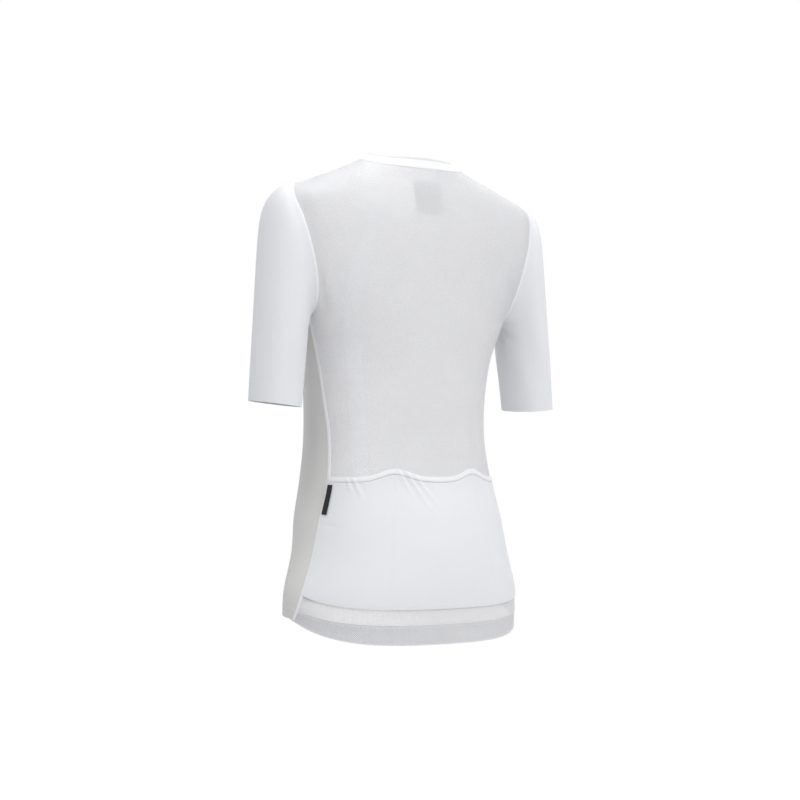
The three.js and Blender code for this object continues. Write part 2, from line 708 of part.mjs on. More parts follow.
const back = drawIn(backGrid(), ["first", "last", "top"], SEAM_GAP);
const front = drawIn(frontGrid(), ["last", "top"], SEAM_GAP);
const sleeveLeft = sleeveGrid();
jersey.add(piece("back_panel", wallOf(back, HALF_WALL, -HALF_WALL), CLOTH.mesh, 0.9));
jersey.add(piece("front_left", wallOf(front, HALF_WALL, -HALF_WALL), CLOTH.smooth, 0.85));
jersey.add(piece("front_right", wallOf(mirrored(front), HALF_WALL, -HALF_WALL), CLOTH.smooth, 0.85));
jersey.add(piece("sleeve_left", wallOf(sleeveLeft, HALF_WALL, -HALF_WALL, true), CLOTH.smooth, 0.85));
const sleeveRight = mirrored(sleeveLeft);
jersey.add(piece("sleeve_right", wallOf(sleeveRight, HALF_WALL, -HALF_WALL, true), CLOTH.smooth, 0.85));
const collarKnots = collarGrid();
jersey.add(piece("collar", wallOf(collarKnots, HALF_WALL, -HALF_WALL), CLOTH.smooth, 0.85));

const halfOverlay = OVERLAY_WALL / 2;
const bindingFoot = 1 - BINDING_SHARE;
const pocket = pocketGrid(0, bindingFoot - 0.003, ROWS_POCKET);
const binding = pocketGrid(bindingFoot, 1, 1);
const gripper = gripperGrid(front, back);
const label = neckLabelGrid(back);
const tab = layOn(pocket, SIDE_TAB.rows, [0, 1], halfOverlay + LAY_GAP + SIDE_TAB.wall / 2);
jersey.add(piece("pocket_panel", wallOf(pocket, halfOverlay, -halfOverlay), CLOTH.pocket, 0.85));
jersey.add(piece("pocket_binding", wallOf(binding, halfOverlay + 0.3, -halfOverlay), CLOTH.pocket, 0.8));
jersey.add(piece("hem_gripper", wallOf(gripper, GRIPPER_WALL / 2, -GRIPPER_WALL / 2), CLOTH.band, 0.8));
jersey.add(piece("neck_label", wallOf(label, NECK_LABEL.wall / 2, -NECK_LABEL.wall / 2), CLOTH.band, 0.7));
jersey.add(piece("side_tab", wallOf(tab, SIDE_TAB.wall / 2, -SIDE_TAB.wall / 2), DARK, 0.6));
jersey.add(piece("zip_tape", zipGeometry(front, collarKnots), CLOTH.pocket, 0.8));

// The slider stands on the collar's front with the zip closed.
const footing = collar(radians(-90), SLIDER.share);
const upward = collar(radians(-90), 1).sub(collar(radians(-90), 0)).normalize();
const leanBack = Math.atan2(upward.y, upward.z);
const zipHead = new THREE.Group();
zipHead.name = "zip_head";
zipHead.position.copy(footing);
zipHead.rotation.set(-leanBack, 0, 0);
const slider = piece("zip_slider", sliderGeometry().rotateZ(Math.PI), METAL, 0.35, 1);
const pull = piece("zip_pull", pullGeometry(), METAL, 0.35, 1);
pull.position.set(0, -(SLIDER.lift + SLIDER.wall + ARCH.clear / 2), 0);
pull.rotation.set(radians(-PULL.restDegrees), 0, 0);
zipHead.add(slider, pull);
jersey.add(zipHead);

export default jersey;
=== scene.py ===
"""Blender scene of a women's short-sleeved cycling jersey, worn and filled out with no wearer in it.

Sizes in the classes are millimetres in the part's own frame: +Z up, the front faces -Y and the
wearer's left is +X. Meshes are in metres.
"""

import logging
import math
from dataclasses import dataclass, field
from enum import Enum
from typing import Any, Sequence

import bmesh
import bpy
import numpy as np
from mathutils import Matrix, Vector


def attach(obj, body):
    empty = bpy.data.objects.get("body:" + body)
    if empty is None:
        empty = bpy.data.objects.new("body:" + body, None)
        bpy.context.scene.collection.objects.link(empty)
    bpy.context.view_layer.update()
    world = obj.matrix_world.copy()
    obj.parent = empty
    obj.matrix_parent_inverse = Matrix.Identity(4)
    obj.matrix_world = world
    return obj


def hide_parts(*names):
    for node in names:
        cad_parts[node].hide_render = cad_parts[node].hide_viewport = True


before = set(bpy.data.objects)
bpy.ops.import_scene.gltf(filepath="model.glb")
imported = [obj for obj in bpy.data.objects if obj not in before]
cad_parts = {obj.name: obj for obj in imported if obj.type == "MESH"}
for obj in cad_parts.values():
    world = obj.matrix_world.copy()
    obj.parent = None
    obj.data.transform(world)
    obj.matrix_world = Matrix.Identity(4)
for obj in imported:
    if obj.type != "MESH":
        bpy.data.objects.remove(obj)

LOG = logging.getLogger("jersey")
MM = 0.001
GARMENT = "garment"
PULL = "pull"
TURN = 2 * math.pi


def mix(a: Any, b: Any, share: Any) -> Any:
    """Return the value a share of the way from a to b."""
    return a + (b - a) * share


def unit(vectors: np.ndarray) -> np.ndarray:
    """Return the vectors with length one: each is divided by its own length."""
    return vectors / np.maximum(np.linalg.norm(vectors, axis=-1, keepdims=True), 1e-9)


def smooth_run(values: Sequence[float], place: np.ndarray) -> np.ndarray:
    """Read a smooth curve through a list of values.

    The curve is a Catmull-Rom spline through the values, with each end carried on in a straight
    line by one value.

    Args:
        values: The values that the curve goes through.
        place: Places counted from 0 along the list, held inside it.

    Returns:
        The curve's value at each place.
    """
    run = np.asarray(values, float)
    last = len(run) - 1
    held = np.clip(place, 0, last)
    first = np.minimum(held.astype(int), last - 1)
    part = held - first
    longer = np.concatenate([[2 * run[0] - run[1]], run, [2 * run[-1] - run[-2]]])
    before, here, there, after = (longer[first + k] for k in range(4))
    square = 2 * before - 5 * here + 4 * there - after
    cubic = 3 * here - before - 3 * there + after
    return 0.5 * (2 * here + (there - before) * part + square * part**2 + cubic * part**3)


def soft_ridges(across: np.ndarray, along: np.ndarray, rows: Sequence[Sequence[float]]) -> np.ndarray:
    """Add up soft creases in the cloth.

    Each crease is a bell: its height times e to the minus square of the distance from its own line
    over its half width, and to the minus square of the distance along that line over its half
    length. The line leans by a share of the way along it.

    Args:
        across: Place across the cloth.
        along: Place along the cloth.
        rows: Creases as across, along, lean, half width, half length and height, with a trough's
            height below zero.

    Returns:
        The height of the cloth over its plain form.
    """
    total = np.zeros(np.broadcast(across, along).shape)
    for at_across, at_along, lean, half_width, half_length, rise in rows:
        off_line = (across - at_across - (at_along - along) * lean) / half_width
        off_middle = (along - at_along) / half_length
        total = total + rise * np.exp(-(off_line**2) - off_middle**2)
    return total


@dataclass
class Cut:
    """The flat cut of one sheet of cloth.

    Attributes:
        width: Width of the rectangle that it is cut from, in metres.
        length: Length of that rectangle.
        area: Area of the cloth in square metres.
    """

    width: float
    length: float
    area: float


@dataclass
class ClothGrid:
    """A piece of cloth as a grid of places on its middle surface.

    Attributes:
        places: Places in millimetres, as rows, columns and three.
        normals: Direction of the wall at each place.
        cloth: Place on the flat cloth in millimetres, across and along.
        round: True where the last column joins the first.
    """

    places: np.ndarray
    normals: np.ndarray
    cloth: np.ndarray
    round: bool = False

    def lifted(self, by: Any) -> "ClothGrid":
        """Return the grid with its places moved along their normals by a height or heights."""
        height = np.broadcast_to(np.asarray(by, float), self.places.shape[:2])
        return ClothGrid(self.places + self.normals * height[..., None], self.normals, self.cloth, self.round)

    def mirrored(self) -> "ClothGrid":
        """Return the grid on the other side of the plane of symmetry, with its columns run back."""
        flip = np.array([-1.0, 1.0, 1.0])
        cloth = (self.cloth * np.array([-1.0, 1.0]))[:, ::-1]
        return ClothGrid((self.places * flip)[:, ::-1], (self.normals * flip)[:, ::-1], cloth, self.round)

    def drawn_in(self, edges: Sequence[str], gap: float) -> "ClothGrid":
        """Draw edges in, so that two pieces stay a seam's gap apart.

        An edge moves in the cloth, square to its own run, by half the gap towards the next line of
        places.

        Args:
            edges: Names out of first, last, bottom and top.
            gap: The seam's gap in millimetres.

        Returns:
            The grid with the edges moved.
        """
        places = self.places.copy()
        lines = {
            "first": (np.s_[:, 0], np.s_[:, 1]),
            "last": (np.s_[:, -1], np.s_[:, -2]),
            "bottom": (np.s_[0, :], np.s_[1, :]),
            "top": (np.s_[-1, :], np.s_[-2, :]),
        }
        for name in edges:
            line, inner = lines[name]
            run = np.gradient(self.places[line], axis=0)
            inward = unit(np.cross(run, self.normals[line]))
            towards = self.places[inner] - self.places[line]
            sign = np.where(np.sum(inward * towards, axis=-1, keepdims=True) < 0, -1.0, 1.0)
            places[line] = places[line] + inward * sign * gap / 2
        return ClothGrid(places, self.normals, self.cloth, self.round)

    def area(self) -> float:
        """Return the cloth's area in square metres: the sum of the grid's two triangles a square."""
        around = np.concatenate([self.places, self.places[:, :1]], axis=1) if self.round else self.places
        a, b, c, d = around[:-1, :-1], around[:-1, 1:], around[1:, 1:], around[1:, :-1]
        halves = (np.cross(b - a, c - a), np.cross(c - a, d - a))
        total = sum(np.linalg.norm(half, axis=-1).sum() for half in halves)
        return float(total / 2 * MM * MM)

    def cut(self, row: int | None = None, column: int | None = None) -> Cut:
        """Return the grid's cut: the length of a row, the length of a column, and the area.

        Args:
            row: The row to measure, or none for the longest one.
            column: The column to measure, or none for the longest one.

        Returns:
            The cut.
        """
        around = np.concatenate([self.places, self.places[:, :1]], axis=1) if self.round else self.places
        widths = np.linalg.norm(np.diff(around, axis=1), axis=-1).sum(axis=1)
        lengths = np.linalg.norm(np.diff(around, axis=0), axis=-1).sum(axis=0)
        width = widths.max() if row is None else widths[row]
        length = lengths.max() if column is None else lengths[column]
        return Cut(float(width) * MM, float(length) * MM, self.area())


def new_object(
    name: str, places: np.ndarray, faces: np.ndarray, cloth: np.ndarray | None
) -> bpy.types.Object:
    """Make a Blender object from arrays.

    Args:
        name: The object's name.
        places: Vertices in millimetres, one a row.
        faces: Corner numbers, one face a row, all with the same number of corners.
        cloth: Place of each vertex on the flat cloth in millimetres, or None.

    Returns:
        The object, at the origin, with the cloth places in metres as its map.
    """
    mesh = bpy.data.meshes.new(name)
    count, corners = faces.shape
    mesh.vertices.add(len(places))
    mesh.vertices.foreach_set("co", (places * MM).astype(np.float32).ravel())
    mesh.loops.add(count * corners)
    mesh.loops.foreach_set("vertex_index", faces.astype(np.int32).ravel())
    mesh.polygons.add(count)
    mesh.polygons.foreach_set("loop_start", np.arange(0, count * corners, corners, dtype=np.int32))
    mesh.update(calc_edges=True)
    if cloth is not None:
        layer = mesh.uv_layers.new(name="cloth")
        layer.data.foreach_set("uv", (cloth[faces.ravel()] * MM).astype(np.float32).ravel())
    mesh.validate()
    mesh.polygons.foreach_set("use_smooth", np.ones(len(mesh.polygons), bool))
    mesh.set_sharp_from_angle(angle=math.radians(48))
    made = bpy.data.objects.new(name, mesh)
    bpy.context.scene.collection.objects.link(made)
    return made


def wall_faces(rows: int, columns: int, round: bool) -> np.ndarray:
    """List the faces of a closed wall over two copies of a grid.

    The first copy is the outer side and the second the inner one. Four corners run round each
    square of the grid, the other way on the inner side, and strips join the two along the rims.

    Args:
        rows: Rows of the grid.
        columns: Columns of the grid.
        round: True where the last column joins the first.

    Returns:
        Faces of four corners.
    """
    spans = columns if round else columns - 1
    i, j = np.meshgrid(np.arange(rows - 1), np.arange(spans), indexing="ij")
    on = (j + 1) % columns
    outer = np.stack([i * columns + j, i * columns + on, (i + 1) * columns + on, (i + 1) * columns + j], -1)
    inner = (outer + rows * columns)[..., ::-1]
    k = np.arange(spans)
    next_k = (k + 1) % columns
    under = rows * columns
    top = (rows - 1) * columns
    bottom_rim = np.stack([k, k + under, next_k + under, next_k], -1)
    top_rim = np.stack([top + k, top + next_k, top + next_k + under, top + k + under], -1)
    parts = [outer.reshape(-1, 4), inner.reshape(-1, 4), bottom_rim, top_rim]
    if not round:
        r = np.arange(rows - 1) * columns
        first_rim = np.stack([r, r + columns, r + columns + under, r + under], -1)
        e = r + columns - 1
        last_rim = np.stack([e, e + under, e + columns + under, e + columns], -1)
        parts += [first_rim, last_rim]
    return np.concatenate(parts)


def cloth_wall(name: str, grid: ClothGrid, outer: Any = 0.6, inner: Any = -0.6) -> bpy.types.Object:
    """Make a closed wall of cloth round a grid.

    Each place gives two vertices, moved along the normal by the outer and the inner height.

    Args:
        name: The object's name.
        grid: The cloth's middle surface.
        outer: Height of the outer side in millimetres, one or an array.
        inner: Height of the inner side in millimetres, one or an array.

    Returns:
        The object, its faces pointing out.
    """
    rows, columns = grid.places.shape[:2]
    sides = [grid.lifted(outer).places.reshape(-1, 3), grid.lifted(inner).places.reshape(-1, 3)]
    faces = wall_faces(rows, columns, grid.round)
    places = np.concatenate(sides)
    a, b, c = (places[faces[0, k]] for k in range(3))
    if np.dot(np.cross(b - a, c - a), grid.normals[0, 0]) < 0:
        faces = faces[:, ::-1]
    cloth = np.concatenate([grid.cloth.reshape(-1, 2)] * 2)
    return new_object(name, places, faces, cloth)


class Level(Enum):
    """Named heights on the torso, as shares of the way from the hem to the neck ring."""

    UNDERARM = 8 / 15
    SHOULDER_TIP = 12.5 / 15


@dataclass
class JerseyForm:
    """The form that all the cloth follows, in millimetres and degrees.

    Attributes:
        z_back: Height of each torso level at the back, from the hem to the neck ring.
        z_side: Height of each level at the side.
        z_front: Height of each level at the front.
        half_width: Half width of each level.
        y_back: Depth of each level at the back.
        y_side: Depth of each level at the side.
        y_front: Depth of each level at the front.
        square: How far each level's corners swell.
        side_seam: Angle of the seam behind the side, a value per level up to the underarm.
        shoulder_seam: Angle of the shoulder seam.
        sweep_back: Power of the sine by which a level's height runs from its side to its back.
        sweep_front: The same to its front.
        hole_back: Swing of the armhole's back half in degrees, and its skew.
        hole_front: The same for the front half.
        cuff_centre: Middle of the left cuff.
        cuff_half: Half width and half depth of the cuff.
        cuff_tilt: Slope of the cuff's ring across and in depth, in degrees.
        arm_top_centre: Middle of the arm's tube at its top.
        arm_top_half: Half width and half depth of the tube there.
        ease_top: Power by which the sleeve's height runs to the cuff from the shoulder tip.
        ease_under: The same from the underarm.
        settle: Power by which the sleeve settles on its tube.
        collar_tall: Height of the collar at the front and back, and at the sides.
        collar_lean: How far the collar leans in at the front and back, and at the sides.
        swell: Most that the cloth fills out beside the armhole seam.
        swell_reach: Distance from the seam at which that has fallen to a third.
    """

    z_back: Sequence[float] = (
        -593, -541, -490, -443, -395, -345, -295, -243, -195, -155, -115, -82, -57, -37, -23, -8)
    z_side: Sequence[float] = (
        -561, -530, -484, -440, -394, -345, -295, -243, -192, -155, -118, -82, -46, -29, -14, 0.5)
    z_front: Sequence[float] = (
        -548, -522, -480, -438, -393, -345, -296, -247, -200, -165, -132, -106, -88, -75, -64, -54)
    half_width: Sequence[float] = (
        164, 163, 151, 144, 133, 125, 125, 131, 146, 158, 168, 175, 177, 142, 105, 72)
    y_back: Sequence[float] = (
        104, 105, 100, 91, 79, 74, 74, 75, 76, 75, 73, 70, 66, 62, 58, 55)
    y_side: Sequence[float] = (1, 2, 0, -5, -8, -10, -10, -6, 2, 9, 13, 16, 16, 17, 18, 20)
    y_front: Sequence[float] = (
        -81, -76, -75, -82, -91, -97, -101, -107, -113, -112, -104, -92, -80, -68, -57, -46)
    square: Sequence[float] = (0, 0, 0, 0, 0, 0, 0, 0.005, 0.015, 0.03, 0.05, 0.06, 0.055, 0.04, 0.03, 0)
    side_seam: Sequence[float] = (5.5, 13, 16.5, 20.5, 22.5, 19.5, 14.5, 9.5, 7)
    shoulder_seam: float = -9.0
    sweep_back: float = 1.15
    sweep_front: float = 1.7
    hole_back: Sequence[float] = (20.0, -0.1)
    hole_front: Sequence[float] = (24.0, 0.16)
    cuff_centre: Sequence[float] = (193, 15, -304)
    cuff_half: Sequence[float] = (29, 38)
    cuff_tilt: Sequence[float] = (6, 4)
    arm_top_centre: Sequence[float] = (169.5, 11.5, -50)
    arm_top_half: Sequence[float] = (33, 45)
    ease_top: float = 1.55
    ease_under: float = 1.0
    settle: float = 10.0
    collar_tall: Sequence[float] = (12.5, 9)
    collar_lean: Sequence[float] = (3, 14)
    swell: float = 5.5
    swell_reach: float = 9.5

    @property
    def last(self) -> int:
        """Number of the last level."""
        return len(self.z_back) - 1

    def column(self, name: str, level: np.ndarray) -> np.ndarray:
        """Read one of the level tables at heights from 0 at the hem to 1 at the neck ring."""
        return smooth_run(getattr(self, name), np.asarray(level, float) * self.last)

    def torso(self, angle: np.ndarray, level: np.ndarray) -> np.ndarray:
        """Place on the torso.

        A level is an ellipse with its corners swollen by a third harmonic. Its depth is a curve of
        second degree in the sine through the back, side and front depths, and its height runs from
        the side's to the back's or front's by a quarter sine of the sine's own power.

        Args:
            angle: Radians from the wearer's left, a quarter turn at the back.
            level: 0 at the hem, 1 at the neck ring.

        Returns:
            Places in millimetres.
        """
        angle, level = np.broadcast_arrays(np.asarray(angle, float), np.asarray(level, float))
        square = self.column("square", level)
        across = (np.cos(angle) - square * np.cos(3 * angle)) / (1 - square)
        along = (np.sin(angle) + square * np.sin(3 * angle)) / (1 - square)
        back, side, front = (self.column(f"y_{k}", level) for k in ("back", "side", "front"))
        y = side + (back - front) / 2 * along + ((back + front) / 2 - side) * along**2
        swing = np.sin(angle)
        sweep = np.where(swing > 0, self.sweep_back, self.sweep_front)
        share = np.sin(math.pi / 2 * np.abs(swing) ** sweep)
        end = np.where(swing > 0, self.column("z_back", level), self.column("z_front", level))
        z = mix(self.column("z_side", level), end, share)
        return np.stack([self.column("half_width", level) * across, y, z], -1)

    def off_middle(self, away: Any, level: np.ndarray) -> np.ndarray:
        """Angle from the front's or back's middle to a place a short way beside it.

        Args:
            away: Distance from the middle plane in millimetres.
            level: Levels.

        Returns:
            Angles in radians.
        """
        square = self.column("square", level)
        return np.arcsin(away * (1 - square) / (1 + 3 * square) / self.column("half_width", level))

    def torso_normal(self, angle: np.ndarray, level: np.ndarray) -> np.ndarray:
        """Outward normal of the torso: the cross product of its small steps round and up."""
        held = np.clip(level, 0.002, 0.998)
        round_step = self.torso(angle + 0.01, held) - self.torso(angle - 0.01, held)
        up_step = self.torso(angle, held + 0.002) - self.torso(angle, held - 0.002)
        return unit(np.cross(round_step, up_step))

    def seam_angle(self, level: np.ndarray) -> np.ndarray:
        """Angle of the back-side seam at a level, in radians."""
        return np.radians(smooth_run(self.side_seam, np.asarray(level, float) * self.last))

    def armhole(self, turn: np.ndarray) -> tuple[np.ndarray, np.ndarray]:
        """Angle and level of the armhole loop.

        The level is a cosine between the underarm and the shoulder tip. The angle swings back and
        forth with the sine of the turn about an axis that runs from the shoulder seam to the side
        seam.

        Args:
            turn: 0 at the shoulder tip, pi at the underarm, the back side between them.

        Returns:
            The angle in radians and the level.
        """
        turn = np.asarray(turn, float)
        tip, low = Level.SHOULDER_TIP.value, Level.UNDERARM.value
        level = (tip + low) / 2 + (tip - low) / 2 * np.cos(turn)
        axis = mix(self.shoulder_seam, self.side_seam[-1], (1 - np.cos(turn)) / 2)
        behind = np.sin(turn) > 0
        swing = np.where(behind, self.hole_back[0], self.hole_front[0])
        skew = np.where(behind, self.hole_back[1], self.hole_front[1])
        return np.radians(axis + swing * np.sin(turn) * (1 - skew * np.cos(turn))), level

    def seam_swell(self, turn: np.ndarray, away: np.ndarray) -> np.ndarray:
        """How far the cloth fills out beside the armhole seam.

        The height is most at the back and the front of the arm and nothing at the shoulder tip and
        the underarm. It falls off from the seam as a power of e, steepest at the seam itself, which
        takes the sharp crease out of the cloth there.

        Args:
            turn: Turn as on the armhole, with no number where a row passes none.
            away: Distance from the seam in millimetres.

        Returns:
            The height in millimetres.
        """
        most = self.swell * np.abs(np.sin(np.nan_to_num(turn))) ** 0.7
        return most * np.exp(-away / self.swell_reach)

    def sleeve_tube(self, turn: np.ndarray, z: np.ndarray) -> np.ndarray:
        """Place on the arm's plain tube: an ellipse at each height, its sizes mixed from two ends."""
        share = (z - self.cuff_centre[2]) / (self.arm_top_centre[2] - self.cuff_centre[2])
        x = mix(self.cuff_centre[0], self.arm_top_centre[0], share)
        y = mix(self.cuff_centre[1], self.arm_top_centre[1], share)
        half_x = mix(self.cuff_half[0], self.arm_top_half[0], share)
        half_y = mix(self.cuff_half[1], self.arm_top_half[1], share)
        return np.stack([x + np.cos(turn) * half_x, y + np.sin(turn) * half_y, z], -1)

    def sleeve(self, turn: np.ndarray, share: np.ndarray) -> np.ndarray:
        """Place on the left sleeve.

        A line of the sleeve starts on the armhole loop and settles on the tube with a high power of
        what is left of it, while its height runs to the tilted cuff.

        Args:
            turn: Turn as on the armhole.
            share: 0 at the armhole, 1 at the cuff.

        Returns:
            Places in millimetres.
        """
        turn, share = np.broadcast_arrays(np.asarray(turn, float), np.asarray(share, float))
        start = self.torso(*self.armhole(turn))
        drop = self.cuff_half[1] * np.sin(turn) * math.tan(math.radians(self.cuff_tilt[1]))
        rise = self.cuff_half[0] * np.cos(turn) * math.tan(math.radians(self.cuff_tilt[0]))
        ease = mix(self.ease_under, self.ease_top, (1 + np.cos(turn)) / 2)
        z = mix(start[..., 2], self.cuff_centre[2] - drop + rise, np.maximum(share, 0) ** ease)
        away = start - self.sleeve_tube(turn, start[..., 2])
        return self.sleeve_tube(turn, z) + away * ((1 - share) ** self.settle)[..., None]

    def sleeve_normal(self, turn: np.ndarray, share: np.ndarray) -> np.ndarray:
        """Outward normal of the sleeve: the cross product of its small steps round and along."""
        held = np.clip(share, 0.02, 0.98)
        round_step = self.sleeve(turn + 0.02, held) - self.sleeve(turn - 0.02, held)
        along_step = self.sleeve(turn, held + 0.02) - self.sleeve(turn, held - 0.02)
        return -unit(np.cross(round_step, along_step))

    def armhole_normal(self, turn: np.ndarray) -> np.ndarray:
        """Direction of both walls where torso and sleeve meet, half way between their normals."""
        return unit(self.torso_normal(*self.armhole(turn)) + self.sleeve_normal(turn, np.zeros_like(turn)))

    def collar(self, angle: np.ndarray, share: np.ndarray) -> np.ndarray:
        """Place on the collar, which stands on the neck ring and leans inward as it goes up."""
        angle, share = np.broadcast_arrays(np.asarray(angle, float), np.asarray(share, float))
        foot = self.torso(angle, np.ones_like(angle))
        inward = unit(np.stack([-foot[..., 0], 5 - foot[..., 1], np.zeros_like(angle)], -1))
        side = np.cos(angle) ** 2
        lean = mix(self.collar_lean[0], self.collar_lean[1], side)
        tall = mix(self.collar_tall[0], self.collar_tall[1], side)
        up = np.array([0.0, 0.0, 1.0])
        return foot + inward * (lean * share)[..., None] + up * (tall * share)[..., None]

    def collar_normal(self, angle: np.ndarray, share: np.ndarray) -> np.ndarray:
        """Outward normal of the collar: the cross product of its small steps round and up."""
        round_step = self.collar(angle + 0.02, share) - self.collar(angle - 0.02, share)
        up_step = self.collar(angle, share + 0.05) - self.collar(angle, share - 0.05)
        return unit(np.cross(round_step, up_step))

    def neck_normal(self, angle: np.ndarray) -> np.ndarray:
        """Direction of the walls where torso and collar meet."""
        ones = np.ones_like(angle)
        return unit(self.torso_normal(angle, ones) + self.collar_normal(angle, ones / 2))

    def calm_angle(self, level: np.ndarray) -> np.ndarray:
        """Angle that the inner columns of a panel keep to, where its edge swings round the armhole."""
        low, tip = Level.UNDERARM.value, Level.SHOULDER_TIP.value
        share = np.clip((level - low) / (tip - low), 0, 1)
        above = np.radians(mix(self.side_seam[-1], self.shoulder_seam, share))
        return np.where(level < low, self.seam_angle(level), above)


@dataclass
class PanelStops:
    """Levels of a torso panel's rows, with the turn of the armhole where they pass it.

    Attributes:
        form: The jersey's form.
        below: Rows below the underarm.
        beside: Rows beside the armhole.
        above: Rows above the shoulder tip.
        level: Level of each row, laid out at the start.
        turn: Turn of the armhole at each row, with no number where a row passes none.
    """

    form: JerseyForm
    below: int = 110
    beside: int = 72
    above: int = 26
    level: np.ndarray = field(init=False)
    turn: np.ndarray = field(init=False)

    def __post_init__(self) -> None:
        """Lay out the rows: even below and above the armhole, and even in turn beside it."""
        low, tip = Level.UNDERARM.value, Level.SHOULDER_TIP.value
        under = np.linspace(0, low, self.below, endpoint=False)
        turn = math.pi * (1 - np.arange(self.beside + 1) / self.beside)
        over = np.linspace(tip, 1, self.above + 1)[1:]
        self.level = np.concatenate([under, self.form.armhole(turn)[1], over])
        self.turn = np.concatenate([np.full(len(under), np.nan), turn, np.full(len(over), np.nan)])

    def edge(self, front: bool) -> tuple[np.ndarray, np.ndarray]:
        """Angle and wall direction of a panel's outer edge on the wearer's left.

        Args:
            front: True for a front panel, False for the back.

        Returns:
            The angle of each row's edge and the normal there.
        """
        beside = ~np.isnan(self.turn)
        turn = np.where(beside, self.turn, 0.0) * (-1 if front else 1)
        plain = np.where(
            self.level < Level.UNDERARM.value,
            self.form.seam_angle(self.level),
            math.radians(self.form.shoulder_seam),
        )
        angle = np.where(beside, self.form.armhole(turn)[0], plain)
        normal = np.where(
            beside[:, None], self.form.armhole_normal(turn), self.form.torso_normal(angle, self.level)
        )
        return angle, normal


def run_length(places: np.ndarray, axis: int) -> np.ndarray:
    """Distance along a grid of places from its first line, added up step by step."""
    steps = np.linalg.norm(np.diff(places, axis=axis), axis=-1)
    pad = [(0, 0), (0, 0)]
    pad[axis] = (1, 0)
    return np.cumsum(np.pad(steps, pad), axis=axis)


def flat_cloth(places: np.ndarray, middle: int, spine: int) -> np.ndarray:
    """Lay a grid out flat.

    Across is the distance along each row from the middle column, and along is the distance up the
    spine column.

    Args:
        places: The grid's places.
        middle: Column that is nought across.
        spine: Column that along is measured on.

    Returns:
        Across and along in millimetres at each place.
    """
    across = run_length(places, 1)
    across = across - across[:, middle : middle + 1]
    along = run_length(places, 0)[:, spine : spine + 1]
    return np.stack([across, np.broadcast_to(along, across.shape)], -1)


class Signal:
    """A value in a shader. Sums, products and powers of signals add Math nodes."""

    def __init__(self, book: "ShaderBook", socket: bpy.types.NodeSocket) -> None:
        """Hold a socket of a book."""
        self.book = book
        self.socket = socket

    def _joined(self, operation: str, first: Any, second: Any) -> "Signal":
        """Add a Math node over two values or signals and return what comes out of it."""
        made = self.book.node("ShaderNodeMath", {"operation": operation}, {0: first, 1: second})
        return Signal(self.book, made.outputs[0])

    def __add__(self, other: Any) -> "Signal":
        """Sum."""
        return self._joined("ADD", self, other)

    def __radd__(self, other: Any) -> "Signal":
        """Sum, with the number first."""
        return self._joined("ADD", other, self)

    def __sub__(self, other: Any) -> "Signal":
        """Difference."""
        return self._joined("SUBTRACT", self, other)

    def __rsub__(self, other: Any) -> "Signal":
        """Difference, with the number first."""
        return self._joined("SUBTRACT", other, self)

    def __mul__(self, other: Any) -> "Signal":
        """Product."""
        return self._joined("MULTIPLY", self, other)

    def __rmul__(self, other: Any) -> "Signal":
        """Product, with the number first."""
        return self._joined("MULTIPLY", other, self)

    def __truediv__(self, other: Any) -> "Signal":
        """Quotient."""
        return self._joined("DIVIDE", self, other)

    def __pow__(self, other: Any) -> "Signal":
        """Power."""
        return self._joined("POWER", self, other)

    def over(self, other: Any) -> "Signal":
        """The larger of this and another value."""
        return self._joined("MAXIMUM", self, other)

    def under(self, other: Any) -> "Signal":
        """The smaller of this and another value."""
        return self._joined("MINIMUM", self, other)

    def function(self, operation: str) -> "Signal":
        """A Math function of one value, such as SINE, ABSOLUTE or FRACT."""
        return self._joined(operation, self, 0.0)

    def ramp(self, low: float, high: float, at_low: float = 0.0, at_high: float = 1.0) -> "Signal":
        """Map this value from low to high smoothly onto two other values, held beyond them."""
        settings = {"interpolation_type": "SMOOTHSTEP"}
        inputs = {"Value": self, "From Min": low, "From Max": high, "To Min": at_low, "To Max": at_high}
        made = self.book.node("ShaderNodeMapRange", settings, inputs)
        return Signal(self.book, made.outputs["Result"])


